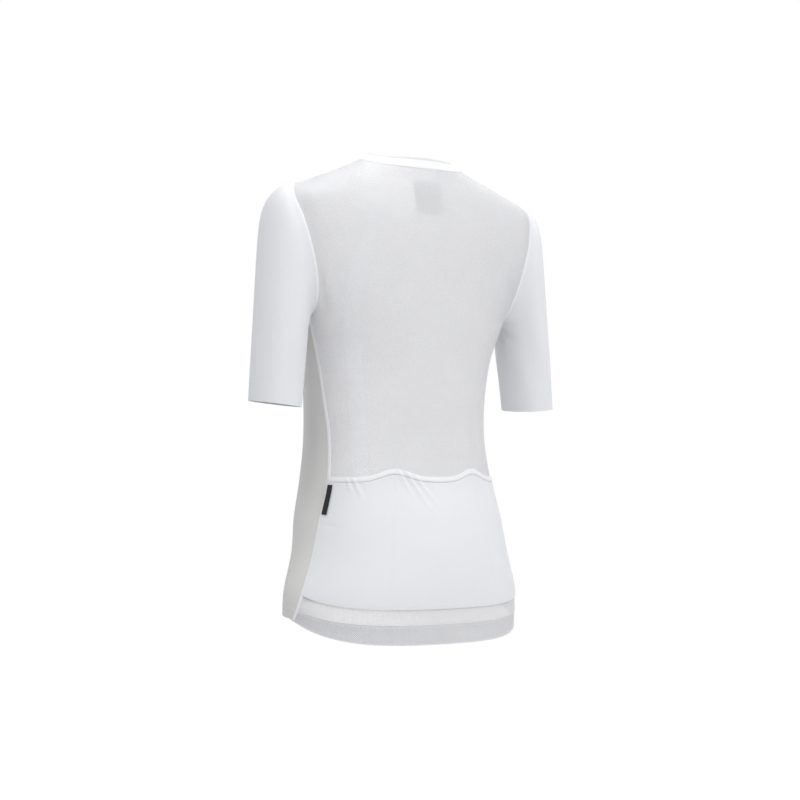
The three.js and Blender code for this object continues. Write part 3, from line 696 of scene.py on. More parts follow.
class ShaderBook:
    """The nodes of one material, or of the world."""

    def __init__(self, owner: bpy.types.ID) -> None:
        """Open an empty book.

        Args:
            owner: The material or world that the nodes belong to.
        """
        self.owner = owner
        owner.use_nodes = True
        self.tree = owner.node_tree
        self.tree.nodes.clear()

    @classmethod
    def named(cls, name: str) -> "ShaderBook":
        """Open the book of a new material."""
        return cls(bpy.data.materials.new(name))

    def node(
        self, kind: str, settings: dict[str, Any] | None = None, inputs: dict[Any, Any] | None = None
    ) -> Any:
        """Add a node.

        Args:
            kind: The node's type.
            settings: Its settings, set first.
            inputs: Values, signals or sockets of its inputs, by name or number.

        Returns:
            The node.
        """
        made = self.tree.nodes.new(kind)
        for key, value in (settings or {}).items():
            setattr(made, key, value)
        for key, value in (inputs or {}).items():
            if isinstance(value, Signal):
                self.tree.links.new(value.socket, made.inputs[key])
            elif isinstance(value, bpy.types.NodeSocket):
                self.tree.links.new(value, made.inputs[key])
            else:
                made.inputs[key].default_value = value
        return made

    def cloth_place(self) -> tuple[Signal, Signal]:
        """Place on the flat cloth in metres, across and along, from the piece's own map."""
        place = self.node("ShaderNodeUVMap", {"uv_map": "cloth"})
        parts = self.node("ShaderNodeSeparateXYZ", {}, {0: place.outputs[0]})
        return Signal(self, parts.outputs[0]), Signal(self, parts.outputs[1])

    def object_place(self) -> bpy.types.NodeSocket:
        """Place in the part's own frame."""
        return self.node("ShaderNodeTexCoord").outputs["Object"]

    def noise(self, scale: float, detail: float = 3.0) -> Signal:
        """Smooth noise over the part's own frame, about one half."""
        made = self.node(
            "ShaderNodeTexNoise", {}, {"Vector": self.object_place(), "Scale": scale, "Detail": detail}
        )
        return Signal(self, made.outputs[0])

    def blend(self, share: Any, first: Any, second: Any) -> bpy.types.NodeSocket:
        """Mix two colours by a share."""
        made = self.node("ShaderNodeMix", {"data_type": "RGBA"}, {0: share, 6: first, 7: second})
        return made.outputs[2]

    def bump(self, height: Signal, distance: float, strength: float) -> bpy.types.NodeSocket:
        """Turn a height from 0 to 1 into a normal, for a relief of a distance in metres."""
        made = self.node(
            "ShaderNodeBump", {}, {"Height": height, "Distance": distance, "Strength": strength}
        )
        return made.outputs[0]

    def finish(self, inputs: dict[str, Any]) -> bpy.types.Material:
        """Close the material with one shader.

        Args:
            inputs: Values, signals or sockets of the shader's inputs.

        Returns:
            The material.
        """
        shader = self.node("ShaderNodeBsdfPrincipled", {}, inputs)
        self.node("ShaderNodeOutputMaterial", {}, {0: shader.outputs[0]})
        return self.owner


def rgba(colour: Sequence[float]) -> tuple[float, float, float, float]:
    """Return a colour of three numbers with full cover."""
    return (colour[0], colour[1], colour[2], 1.0)


@dataclass(frozen=True)
class SmoothKnit:
    """Fine matt knit: narrow wales of small loops that lean to and fro.

    Attributes:
        name: The material's name.
        colour: Colour of the loops' crowns.
        shade: Colour between the loops.
        wale: Width of a wale in metres.
        course: Height of a course in metres.
        relief: Depth of the loops in metres.
        roughness: Roughness of the cloth.
    """

    name: str
    colour: Sequence[float]
    # shade: Colour between the loops, darker than the crowns as painted shade in the dips.
    shade: Sequence[float]
    wale: float = 0.0009
    course: float = 0.0007
    relief: float = 0.00012
    roughness: float = 0.72

    def material(self) -> bpy.types.Material:
        """Make the material.

        The height is a sine across the wales times a sine along the courses, whose phase leans with
        the distance from the wale's middle, which draws the small V of a knit loop.

        Returns:
            The material.
        """
        book = ShaderBook.named(self.name)
        across, along = book.cloth_place()
        place = (across / self.wale).function("FRACT")
        off = (place - 0.5).function("ABSOLUTE")
        wale = (off * math.pi).function("COSINE")
        course = ((along / self.course + off * 1.2) * TURN).function("SINE") * 0.5 + 0.5
        height = wale * (course * 0.5 + 0.5)
        cloud = book.noise(38.0) * 0.5 + book.noise(240.0, 2.0) * 0.5
        # Painted shade: the dips between the loops take the darker colour, with a random cloud of tone over
        # it.
        share = (height * 0.75 + cloud * 0.5 - 0.12).under(1.0).over(0.0)
        colour = book.blend(share, rgba(self.shade), rgba(self.colour))
        return book.finish({
            "Base Color": colour,
            "Roughness": cloud.ramp(0.3, 0.7, self.roughness - 0.05, self.roughness + 0.05),
            "Specular IOR Level": 0.3,
            "Sheen Weight": 0.12,
            "Sheen Roughness": 0.5,
            "Normal": book.bump(height, self.relief, 0.6),
        })


@dataclass(frozen=True)
class OpenMesh:
    """Open knit with round holes in staggered rows.

    Attributes:
        name: The material's name.
        colour: Colour of the yarn.
        shade: Colour at the rims of the holes, painted shade where the yarn turns into them.
        pitch: Distance between holes in a row, in metres.
        row: Distance between rows, in metres.
        hole: Half width of a hole, in metres.
        relief: Depth of the yarn's roundness in metres.
        density: How much of the view the yarn stops between the holes.
    """

    name: str
    colour: Sequence[float]
    shade: Sequence[float]
    pitch: float = 0.0030
    row: float = 0.0013
    hole: float = 0.00052
    relief: float = 0.00028
    density: float = 0.82

    def from_hole(self, across: Signal, along: Signal, shift: float) -> Signal:
        """Distance from the nearest hole of every other row, in metres.

        The cloth is folded onto one hole by the fraction of its place over the pitch, and the
        distance is the root of the two squares.

        Args:
            across: Place across the cloth.
            along: Place along the cloth.
            shift: Half a cell on for the rows between.

        Returns:
            The distance.
        """
        x = ((across / self.pitch + shift).function("FRACT") - 0.5) * self.pitch
        y = ((along / (2 * self.row) + shift).function("FRACT") - 0.5) * (2 * self.row)
        return (x * x + y * y) ** 0.5

    def material(self) -> bpy.types.Material:
        """Make the material: clear in the holes, darker at their rims as painted shade, rounded between them.
        """
        book = ShaderBook.named(self.name)
        across, along = book.cloth_place()
        near = self.from_hole(across, along, 0.0).under(self.from_hole(across, along, 0.5))
        cover = near.ramp(self.hole * 0.82, self.hole * 1.12)
        rim = near.ramp(self.hole, self.hole * 2.1)
        cloud = book.noise(30.0)
        # Painted shade: the yarn darkens towards the holes' rims, with a random cloud of tone over it.
        colour = book.blend((rim * 0.8 + cloud * 0.3).under(1.0), rgba(self.shade), rgba(self.colour))
        return book.finish({
            "Base Color": colour,
            "Roughness": cloud.ramp(0.3, 0.7, 0.7, 0.82),
            "Specular IOR Level": 0.25,
            "Sheen Weight": 0.1,
            "Sheen Roughness": 0.5,
            "Alpha": cover * self.density,
            "Normal": book.bump(rim, self.relief, 0.7),
        })


@dataclass(frozen=True)
class RibbedBand:
    """Woven elastic or binding: fine ribs across the band with painted shade between them, and two tones
    along it.

    Attributes:
        name: The material's name.
        colour: Colour of the ribs.
        shade: Colour between the ribs, painted shade in the hollows.
        pitch: Distance between the ribs in metres.
        relief: Height of the ribs in metres.
        split: Place along the cloth where the second tone starts, in metres.
        second: Colour above the split, a darker grey used as painted shade.
        thread: Distance between the cross threads in metres.
    """

    name: str
    colour: Sequence[float]
    shade: Sequence[float]
    pitch: float = 0.0011
    relief: float = 0.00022
    split: float = 1.0
    second: Sequence[float] = (0.8, 0.8, 0.8)
    thread: float = 0.0008

    def material(self) -> bpy.types.Material:
        """Make the material: a sine across the ribs for height, mixed with a fine cross thread."""
        book = ShaderBook.named(self.name)
        across, along = book.cloth_place()
        rib = (across * (TURN / self.pitch)).function("SINE") * 0.5 + 0.5
        thread = (along * (TURN / self.thread)).function("SINE") * 0.5 + 0.5
        height = rib * 0.75 + thread * 0.25
        cloud = book.noise(60.0)
        # Painted shade: the hollows between the ribs take the darker colour, with a random cloud of tone over
        # it.
        plain = book.blend((height * 0.6 + cloud * 0.5).under(1.0), rgba(self.shade), rgba(self.colour))
        # Above the split the colour turns to the second tone, a painted shade band.
        upper = along.ramp(self.split, self.split + 0.0005)
        colour = book.blend(upper, plain, rgba(self.second))
        return book.finish({
            "Base Color": colour,
            "Roughness": cloud.ramp(0.3, 0.7, 0.62, 0.75),
            "Specular IOR Level": 0.3,
            "Sheen Weight": 0.08,
            "Normal": book.bump(height, self.relief, 0.6),
        })


@dataclass(frozen=True)
class PlainThread:
    """Sewing thread, coil or other small plain pieces.

    Attributes:
        name: The material's name.
        colour: The colour.
        roughness: The roughness.
        metal: 1 for metal, 0 for other matter.
        grain: Scale of the fine grain over the surface.
    """

    name: str
    colour: Sequence[float]
    roughness: float = 0.55
    metal: float = 0.0
    grain: float = 900.0

    def material(self) -> bpy.types.Material:
        """Make the material: a fine noise moves the colour, the roughness and the relief a little."""
        book = ShaderBook.named(self.name)
        grain = book.noise(self.grain, 2.0)
        darker = tuple(0.86 * c for c in self.colour)
        return book.finish({
            "Base Color": book.blend(grain, rgba(darker), rgba(self.colour)),
            "Roughness": grain.ramp(0.3, 0.7, self.roughness - 0.08, self.roughness + 0.08),
            "Metallic": self.metal,
            "Normal": book.bump(grain, 0.00004, 0.4),
        })


@dataclass
class Wardrobe:
    """All the finishes, made once.

    Attributes:
        mesh: Open mesh of the back.
        smooth: Smooth knit of the sleeves.
        front: Knit of the fronts.
        pocket: Knit of the pocket panel.
        collar: Rib of the collar.
        binding: Binding of the pocket mouth.
        elastic: Gripper elastic of the hem.
        label: Cloth of the neck label.
        tab: Cloth of the side tab.
        tape: Tape of the zip.
        thread: Sewing thread.
        seam: Band of the flat seams.
        coil: Coil of the zip.
        metal: Slider and pull.
    """

    mesh: bpy.types.Material = field(init=False)
    smooth: bpy.types.Material = field(init=False)
    front: bpy.types.Material = field(init=False)
    pocket: bpy.types.Material = field(init=False)
    collar: bpy.types.Material = field(init=False)
    binding: bpy.types.Material = field(init=False)
    elastic: bpy.types.Material = field(init=False)
    label: bpy.types.Material = field(init=False)
    tab: bpy.types.Material = field(init=False)
    tape: bpy.types.Material = field(init=False)
    thread: bpy.types.Material = field(init=False)
    seam: bpy.types.Material = field(init=False)
    coil: bpy.types.Material = field(init=False)
    metal: bpy.types.Material = field(init=False)

    def __post_init__(self) -> None:
        """Make the materials."""
        self.mesh = OpenMesh("open_mesh", (0.955, 0.957, 0.975), (0.80, 0.803, 0.835)).material()
        self.smooth = SmoothKnit("smooth_knit", (0.86, 0.87, 0.895), (0.77, 0.78, 0.805)).material()
        # Painted shade: the fronts' knit is a darker, warmer copy of the sleeves' knit, for the shaded flank
        # under the arm.
        self.front = SmoothKnit("front_knit_painted_shade", (0.76, 0.755, 0.75), (0.68, 0.675, 0.67)).material()
        self.pocket = SmoothKnit("pocket_knit", (0.85, 0.86, 0.885), (0.78, 0.79, 0.82)).material()
        # The collar's top takes a darker grey as painted shade: the shaded inner face of the far collar that
        # shows over it.
        self.collar = RibbedBand(
            "collar_knit",
            (0.93, 0.935, 0.94),
            (0.88, 0.885, 0.89),
            pitch=0.0012,
            relief=0.00015,
            split=0.0090,
            second=(0.74, 0.745, 0.755),
        ).material()
        self.binding = RibbedBand("pocket_binding", (0.92, 0.925, 0.94), (0.86, 0.865, 0.88)).material()
        self.elastic = RibbedBand("hem_elastic", (0.76, 0.79, 0.84), (0.64, 0.67, 0.73), 0.0015).material()
        self.label = RibbedBand("label_cloth", (0.02, 0.05, 0.09), (0.012, 0.03, 0.06), 0.0008).material()
        self.tab = RibbedBand("tab_cloth", (0.03, 0.03, 0.034), (0.015, 0.015, 0.018), 0.0009).material()
        self.tape = RibbedBand("zip_tape_cloth", (0.82, 0.84, 0.87), (0.70, 0.72, 0.75), 0.0012).material()
        self.seam = SmoothKnit("seam_knit", (0.95, 0.95, 0.96), (0.88, 0.88, 0.90)).material()
        self.thread = PlainThread("sewing_thread", (0.95, 0.95, 0.96)).material()
        self.coil = PlainThread("zip_coil", (0.84, 0.85, 0.87), 0.4).material()
        self.metal = PlainThread("zip_metal", (0.72, 0.73, 0.75), 0.3, 1.0, 600.0).material()


def dress(
    piece: bpy.types.Object,
    material: bpy.types.Material,
    slot: str,
    nodes: Sequence[str] = (),
    body: str = GARMENT,
) -> bpy.types.Object:
    """Give a piece its material and its body, and hide the nodes that it stands for.

    Args:
        piece: The piece.
        material: Its material.
        slot: Name of the material slot; not used.
        nodes: Names of the nodes that it replaces.
        body: Name of the body that it rides on.

    Returns:
        The piece.
    """
    piece.data.materials.clear()
    piece.data.materials.append(material)
    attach(piece, body)
    if nodes:
        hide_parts(*nodes)
    return piece


@dataclass
class SewnLine:
    """A line on the cloth for a seam or a row of stitches.

    Attributes:
        places: Places along the line in millimetres.
        normals: Direction of the wall along it.
        left: Unit direction in the cloth to one side.
        right: Unit direction in the cloth to the other side.
    """

    places: np.ndarray
    normals: np.ndarray
    left: np.ndarray | None = None
    right: np.ndarray | None = None

    def mirrored(self) -> "SewnLine":
        """Return the line on the other side of the plane of symmetry."""
        flip = np.array([-1.0, 1.0, 1.0])
        sides = [None if side is None else side * flip for side in (self.right, self.left)]
        return SewnLine(self.places * flip, self.normals * flip, *sides)

    def moved(self, across: float, up: float) -> "SewnLine":
        """Return the line moved to one side in the cloth, minus for the left, and up from it."""
        side = self.left if across < 0 else self.right
        step = 0 if side is None else side * abs(across)
        return SewnLine(self.places + step + self.normals * up, self.normals, self.left, self.right)


@dataclass
class Spindles:
    """Small spindle-shaped pieces, many in one mesh: thread stitches or the teeth of a coil.

    Attributes:
        radius: Half thickness.
        sides: Corners of the section.
        ends: Share of the radius at the two ends.
        dip: How far the ends dip below the middle.
    """

    radius: float = 0.26
    sides: int = 5
    ends: float = 0.2
    dip: float = 0.35

    def make(self, name: str, start: np.ndarray, end: np.ndarray, up: np.ndarray) -> bpy.types.Object:
        """Make the spindles.

        Each has five rings of its section between its start and end. The radius is full in the
        middle rings and the given share at the ends, and the line dips at the ends. A cap closes
        each end.

        Args:
            name: The object's name.
            start: Start of each, in millimetres.
            end: End of each.
            up: Direction away from the cloth at each.

        Returns:
            The object.
        """
        side = unit(np.cross(end - start, up))
        along = np.array([0.0, 0.14, 0.5, 0.86, 1.0])
        size = np.array([self.ends, 0.85, 1.0, 0.85, self.ends])
        rise = np.array([-self.dip, 0.0, 0.1 * self.dip, 0.0, -self.dip])
        angle = TURN * np.arange(self.sides) / self.sides
        middle = start[:, None] + (end - start)[:, None] * along[:, None] + up[:, None] * rise[:, None]
        ring = side[:, None] * np.cos(angle)[:, None] + up[:, None] * np.sin(angle)[:, None]
        body = middle[:, :, None] + ring[:, None] * (self.radius * size)[:, None, None]
        tips = np.stack([middle[:, 0], middle[:, -1]], 1)
        count, rings = body.shape[:2]
        each = rings * self.sides + 2
        places = np.concatenate([body.reshape(count, -1, 3), tips], axis=1)
        i, j = np.meshgrid(np.arange(rings - 1), np.arange(self.sides), indexing="ij")
        on = (j + 1) % self.sides
        here, there = i * self.sides, (i + 1) * self.sides
        wall = np.concatenate([
            np.stack([here + j, here + on, there + on], -1).reshape(-1, 3),
            np.stack([here + j, there + on, there + j], -1).reshape(-1, 3),
        ])
        k = np.arange(self.sides)
        next_k = (k + 1) % self.sides
        last = (rings - 1) * self.sides
        first_cap = np.stack([next_k, k, np.full(self.sides, each - 2)], -1)
        last_cap = np.stack([last + k, last + next_k, np.full(self.sides, each - 1)], -1)
        faces = np.concatenate([wall, first_cap, last_cap])
        centre = places[0, : each - 2].mean(axis=0)
        a, b, c = (places[0, wall[0, q]] for q in range(3))
        if np.dot(np.cross(b - a, c - a), a - centre) < 0:
            faces = faces[:, ::-1]
        every = (faces[None] + (np.arange(count) * each)[:, None, None]).reshape(-1, 3)
        return new_object(name, places.reshape(-1, 3), every, None)


@dataclass
class Stitches:
    """Rows of sewing thread.

    Attributes:
        length: Length of a stitch in millimetres.
        pitch: Distance from one stitch to the next.
        thread: The thread's shape.
    """

    length: float = 2.1
    pitch: float = 2.7
    thread: Spindles = field(default_factory=Spindles)

    def make(self, name: str, lines: Sequence[SewnLine]) -> bpy.types.Object:
        """Sew rows of stitches along lines.

        The stitches are evenly spaced along each line, and each runs straight between two places
        that are read from the line by its length.

        Args:
            name: The object's name.
            lines: The lines, on the cloth's outer face.

        Returns:
            The object.
        """
        starts, ends, ups = [], [], []
        for line in lines:
            run = run_length(line.places[:, None], 0)[:, 0]
            count = max(int(run[-1] / self.pitch), 1)
            first = (np.arange(count) + 0.5) * run[-1] / count - self.length / 2
            starts.append(self.read(run, line.places, first))
            ends.append(self.read(run, line.places, first + self.length))
            ups.append(unit(self.read(run, line.normals, first + self.length / 2)))
        return self.thread.make(name, np.concatenate(starts), np.concatenate(ends), np.concatenate(ups))

    @staticmethod
    def read(run: np.ndarray, values: np.ndarray, at: np.ndarray) -> np.ndarray:
        """Read three values along a line at distances from its start."""
        return np.stack([np.interp(at, run, values[:, k]) for k in range(3)], -1)


@dataclass
class SeamTape:
    """A flat seam over two edges: a low band with its edges let into the cloth, and two thread rows.

    Attributes:
        half_width: Half width of the band in millimetres.
        rise: Height of the band's middle over its edges.
        edge: Height of its edges over the cloth's middle surface.
        depth: How far its wall reaches down from there.
        thread_share: Place of a thread row across the band, as a share of the half width.
        thread_base: Height of the thread rows over the cloth's middle surface, less the rise.
    """

    half_width: float = 2.2
    rise: float = 0.55
    edge: float = 0.5
    depth: float = 0.35
    thread_share: float = 0.55
    thread_base: float = 0.45

    def grid(self, line: SewnLine) -> ClothGrid:
        """Lay the band along a line.

        Across the band the place is the line's own place moved along one side's direction or the
        other's, and the height is that of the edges and the rise times one less the fourth power of
        the share across.

        Args:
            line: The line, on the cloth's middle surface.

        Returns:
            The grid, with its rows along the line.
        """
        share = np.linspace(-1, 1, 7)
        towards = np.where(share[:, None] < 0, line.left[:, None], line.right[:, None])
        height = self.edge + self.rise * (1 - share**4)
        step = towards * (np.abs(share) * self.half_width)[:, None]
        places = line.places[:, None] + step + line.normals[:, None] * height[:, None]
        up = np.broadcast_to(line.normals[:, None], places.shape)
        run = np.broadcast_to(run_length(places, 0)[:, 3:4], places.shape[:2])
        across = np.broadcast_to(share * self.half_width, places.shape[:2])
        return ClothGrid(places, up, np.stack([across, run], -1))


@dataclass
class Torso:
    """Back and front panels.

    Attributes:
        form: The jersey's form.
        wardrobe: The finishes.
        columns_back: Columns of the back panel.
        columns_front: Columns of a front panel.
        shoulder_share: Share of a front's columns at which its length is read.
        gap: Gap at the seams in millimetres.
        zip_slot: Width of the slot for the zip.
        cuts: The panels' flat cuts, filled in by make().
        back_folds: Soft folds of the back, in millimetres on the cloth.
        front_folds: Soft folds of a front.
    """

    form: JerseyForm
    wardrobe: Wardrobe
    columns_back: int = 120
    columns_front: int = 76
    shoulder_share: float = 0.35
    gap: float = 0.36
    zip_slot: float = 6.4
    cuts: dict[str, Cut] = field(default_factory=dict)
    back_folds: Sequence[Sequence[float]] = (
        (-152, 428, 0.2, 5, 26, -1.8),
        (-139, 424, 0.25, 6, 28, 1.1),
        (126, 447, 0.45, 2.6, 15, -1.8),
        (132, 447, 0.45, 2.2, 15, 1.2),
        (138, 447, 0.5, 2.6, 14, -1.7),
        (144, 446, 0.5, 2.2, 13, 1.1),
        (150, 444, 0.5, 2.6, 12, -1.4),
        (101, 568, 0.5, 2.5, 7, 0.7),
        (108, 561, 0.5, 2.5, 7, -0.6),
        (-60, 255, 0.1, 26, 90, -0.8),
        (48, 240, -0.1, 24, 80, 0.7),
    )
    front_folds: Sequence[Sequence[float]] = (
        (196, 330, -0.4, 6, 24, -1.3),
        (184, 316, -0.35, 8, 30, 1.0),
        (152, 400, 0.3, 7, 30, -1.0),
        (140, 392, 0.3, 7, 28, 0.8),
        (150, 240, 0.2, 14, 60, -1.1),
        (118, 210, 0.15, 14, 55, 0.9),
        (11, 46, 0.0, 8, 6, 0.6),
        (11, 97, 0.0, 7, 5, -0.5),
        (12, 151, 0.0, 8, 6, 0.6),
        (11, 198, 0.0, 8, 5, 0.4),
        (12, 260, 0.0, 9, 7, -0.6),
        (11, 322, 0.0, 8, 5, 0.5),
        (12, 371, 0.0, 8, 6, -0.5),
    )

    def stops(self) -> PanelStops:
        """Rows of the panels."""
        return PanelStops(self.form)

    def back_grid(self) -> ClothGrid:
        """Back panel: columns run evenly between the calm angles, and bend out to the edges.

        Returns:
            The grid, from the hem up and from the wearer's left to right.
        """
        stops = self.stops()
        edge, edge_normal = stops.edge(False)
        share = np.linspace(0, 1, self.columns_back + 1)[None]
        calm = self.form.calm_angle(stops.level)[:, None]
        near = np.maximum(1 - 2 * share, 0) ** 2 - np.maximum(2 * share - 1, 0) ** 2
        even = share - 0.02 * np.sin(TURN * share)
        angle = mix(calm, math.pi - calm, even) + (edge[:, None] - calm) * near
        level = np.broadcast_to(stops.level[:, None], angle.shape)
        places = self.form.torso(angle, level)
        normals = self.form.torso_normal(angle, level)
        normals[-1] = self.form.neck_normal(angle[-1])
        normals[:-1, 0] = edge_normal[:-1]
        normals[:-1, -1] = edge_normal[:-1] * np.array([-1.0, 1.0, 1.0])
        middle = self.columns_back // 2
        cloth = flat_cloth(places, middle, middle)
        across = cloth[..., 0]
        out = np.minimum(across - across[:, :1], across[:, -1:] - across)
        swell = self.form.seam_swell(stops.turn[:, None], out)[..., None]
        side = np.where(share < 0.5, 1.0, -1.0)[..., None]
        outwards = edge_normal[:, None] * np.concatenate([side, np.ones_like(side), np.ones_like(side)], -1)
        grid = ClothGrid(places + outwards * swell, normals, cloth)
        grid = grid.lifted(soft_ridges(across, cloth[..., 1], self.back_folds))
        return grid.drawn_in(["first", "last", "top"], self.gap)

    def zip_edge(self, level: np.ndarray) -> np.ndarray:
        """Angle at which a level's front comes within half the zip's slot of the middle."""
        return -math.pi / 2 + self.form.off_middle(self.zip_slot / 2, level)

    def front_grid(self) -> ClothGrid:
        """Left front panel, from the hem up and from the zip round to the back-side seam."""
        stops = self.stops()
        edge, edge_normal = stops.edge(True)
        share = np.linspace(0, 1, self.columns_front + 1)[None]
        calm = self.form.calm_angle(stops.level)[:, None]
        angle = mix(self.zip_edge(stops.level)[:, None], calm, share) + (edge[:, None] - calm) * share**2
        level = np.broadcast_to(stops.level[:, None], angle.shape)
        places = self.form.torso(angle, level)
        normals = self.form.torso_normal(angle, level)
        normals[-1] = self.form.neck_normal(angle[-1])
        normals[:-1, -1] = edge_normal[:-1]
        cloth = flat_cloth(places, 0, 0)
        swell = self.form.seam_swell(stops.turn[:, None], cloth[:, -1:, 0] - cloth[..., 0])[..., None]
        grid = ClothGrid(places + edge_normal[:, None] * swell, normals, cloth)
        grid = grid.lifted(soft_ridges(cloth[..., 0], cloth[..., 1], self.front_folds))
        return grid.drawn_in(["last", "top"], self.gap)

    def make(self) -> dict[str, bpy.types.Object]:
        """Make and dress the three panels.

        Returns:
            The panels by name.
        """
        back, front = self.back_grid(), self.front_grid()
        made = {"back": dress(cloth_wall("back", back), self.wardrobe.mesh, "back_mesh", ["back_panel"])}
        for name, grid in (("front_left", front), ("front_right", front.mirrored())):
            panel = cloth_wall(f"{name}_panel", grid)
            made[name] = dress(panel, self.wardrobe.front, "smooth_knit", [name])
        shoulder = int(self.columns_front * self.shoulder_share)
        self.cuts = {
            "back": back.cut(column=self.columns_back // 2),
            "front_left": front.cut(column=shoulder),
            "front_right": front.cut(column=shoulder),
        }
        return made


@dataclass
class Sleeves:
    """The two set-in sleeves.

    Attributes:
        form: The jersey's form.
        wardrobe: The finishes.
        rows: Rows from the armhole to the cuff.
        columns: Columns round the arm.
        crowding: Power that crowds the rows towards the armhole.
        cloth_radius: Radius at which the knit is laid round the arm, in millimetres.
        gap: Gap at the armhole seam in millimetres.
        cuts: The sleeves' flat cuts, filled in by make().
        folds: Soft folds, in millimetres on the cloth.
    """

    form: JerseyForm
    wardrobe: Wardrobe
    rows: int = 70
    columns: int = 112
    crowding: float = 1.35
    cloth_radius: float = 34.0
    gap: float = 0.36
    cuts: dict[str, Cut] = field(default_factory=dict)
    folds: Sequence[Sequence[float]] = (
        (72, 98, 0.12, 9, 60, -1.3),
        (55, 105, 0.1, 9, 58, 1.0),
        (30, 150, 0.05, 8, 40, 0.6),
        (98, 30, 0.5, 5, 20, -1.6),
        (111, 36, -0.4, 5, 22, -1.4),
        (127, 31, 0.4, 5, 19, -1.4),
        (141, 74, 0.2, 8, 40, 0.9),
        (166, 112, 0.3, 8, 34, 0.8),
        (86, 18, 0.6, 3.5, 12, 0.9),
    )

    def grid(self) -> ClothGrid:
        """Left sleeve, round the arm from the shoulder tip by the back, from the armhole down."""
        share = (np.arange(self.rows + 1) / self.rows)[:, None] ** self.crowding
        turn = TURN * np.arange(self.columns)[None] / self.columns
        turn, share = np.broadcast_arrays(turn, share)
        places = self.form.sleeve(turn, share)
        normals = self.form.sleeve_normal(turn, share)
        normals[0] = self.form.armhole_normal(turn[0])
        run = run_length(places, 0)
        cloth = np.stack([turn * self.cloth_radius, run.mean(axis=1, keepdims=True) + 0 * turn], -1)
        grid = ClothGrid(places, normals, cloth, True)
        start = self.form.torso(*self.form.armhole(turn[0]))
        step = np.roll(start, -1, axis=0) - np.roll(start, 1, axis=0)
        away = unit(np.cross(step, normals[0]))
        sign = np.where(np.sum(away * (places[1] - places[0]), axis=-1, keepdims=True) < 0, -1.0, 1.0)
        grid.places[0] = grid.places[0] + away * sign * self.gap / 2
        grid.places += self.form.armhole_normal(turn[0])[None] * self.form.seam_swell(turn, run)[..., None]
        return grid.lifted(soft_ridges(cloth[..., 0], cloth[..., 1], self.folds))

    def make(self) -> dict[str, bpy.types.Object]:
        """Make and dress the sleeves.

        Returns:
            The sleeves by name.
        """
        left = self.grid()
        upper_arm = self.rows * 6 // 7
        made = {}
        for name, grid in (("sleeve_left", left), ("sleeve_right", left.mirrored())):
            self.cuts[name] = left.cut(upper_arm)
            sleeve = cloth_wall(f"{name}_cloth", grid)
            made[name] = dress(sleeve, self.wardrobe.smooth, "smooth_knit", [name])
        return made


@dataclass
class Collar:
    """The low collar band.

    Attributes:
        form: The jersey's form.
        wardrobe: The finishes.
        rows: Rows up the band.
        columns: Columns round the neck.
        zip_slot: Width of the slot for the zip.
        half_wall: Half thickness of the band.
        rim: What that gains at the foot, and loses at the top.
        cuts: The collar's flat cut, filled in by make().
    """

    form: JerseyForm
    wardrobe: Wardrobe
    rows: int = 10
    columns: int = 220
    zip_slot: float = 6.4
    half_wall: float = 0.6
    rim: float = 0.35
    cuts: dict[str, Cut] = field(default_factory=dict)

    def grid(self) -> ClothGrid:
        """Band from the zip round the neck and back to the zip, from the neck ring up."""
        edge = -math.pi / 2 + math.asin(self.zip_slot / 2 / self.form.half_width[-1])
        angle = np.linspace(edge, math.pi - edge, self.columns + 1)[None]
        share = np.linspace(0.02, 1, self.rows + 1)[:, None]
        angle, share = np.broadcast_arrays(angle, share)
        places = self.form.collar(angle, share)
        normals = self.form.collar_normal(angle, np.clip(share, 0.05, 0.95))
        normals[0] = self.form.neck_normal(angle[0])
        return ClothGrid(places, normals, flat_cloth(places, self.columns // 2, self.columns // 2))

    def make(self) -> dict[str, bpy.types.Object]:
        """Make and dress the collar.

        Returns:
            The collar by name.
        """
        grid = self.grid()
        self.cuts = {"collar": grid.cut()}
        share = np.linspace(0, 1, self.rows + 1)[:, None]
        foot = np.exp(-(((share - 0.02) / 0.12) ** 2))
        top = np.exp(-(((share - 1) / 0.08) ** 2))
        outer = self.half_wall + self.rim * (foot - top)
        made = cloth_wall("collar_band", grid, np.broadcast_to(outer, grid.places.shape[:2]), -outer)
        return {"collar": dress(made, self.wardrobe.collar, "collar_knit", ["collar"])}


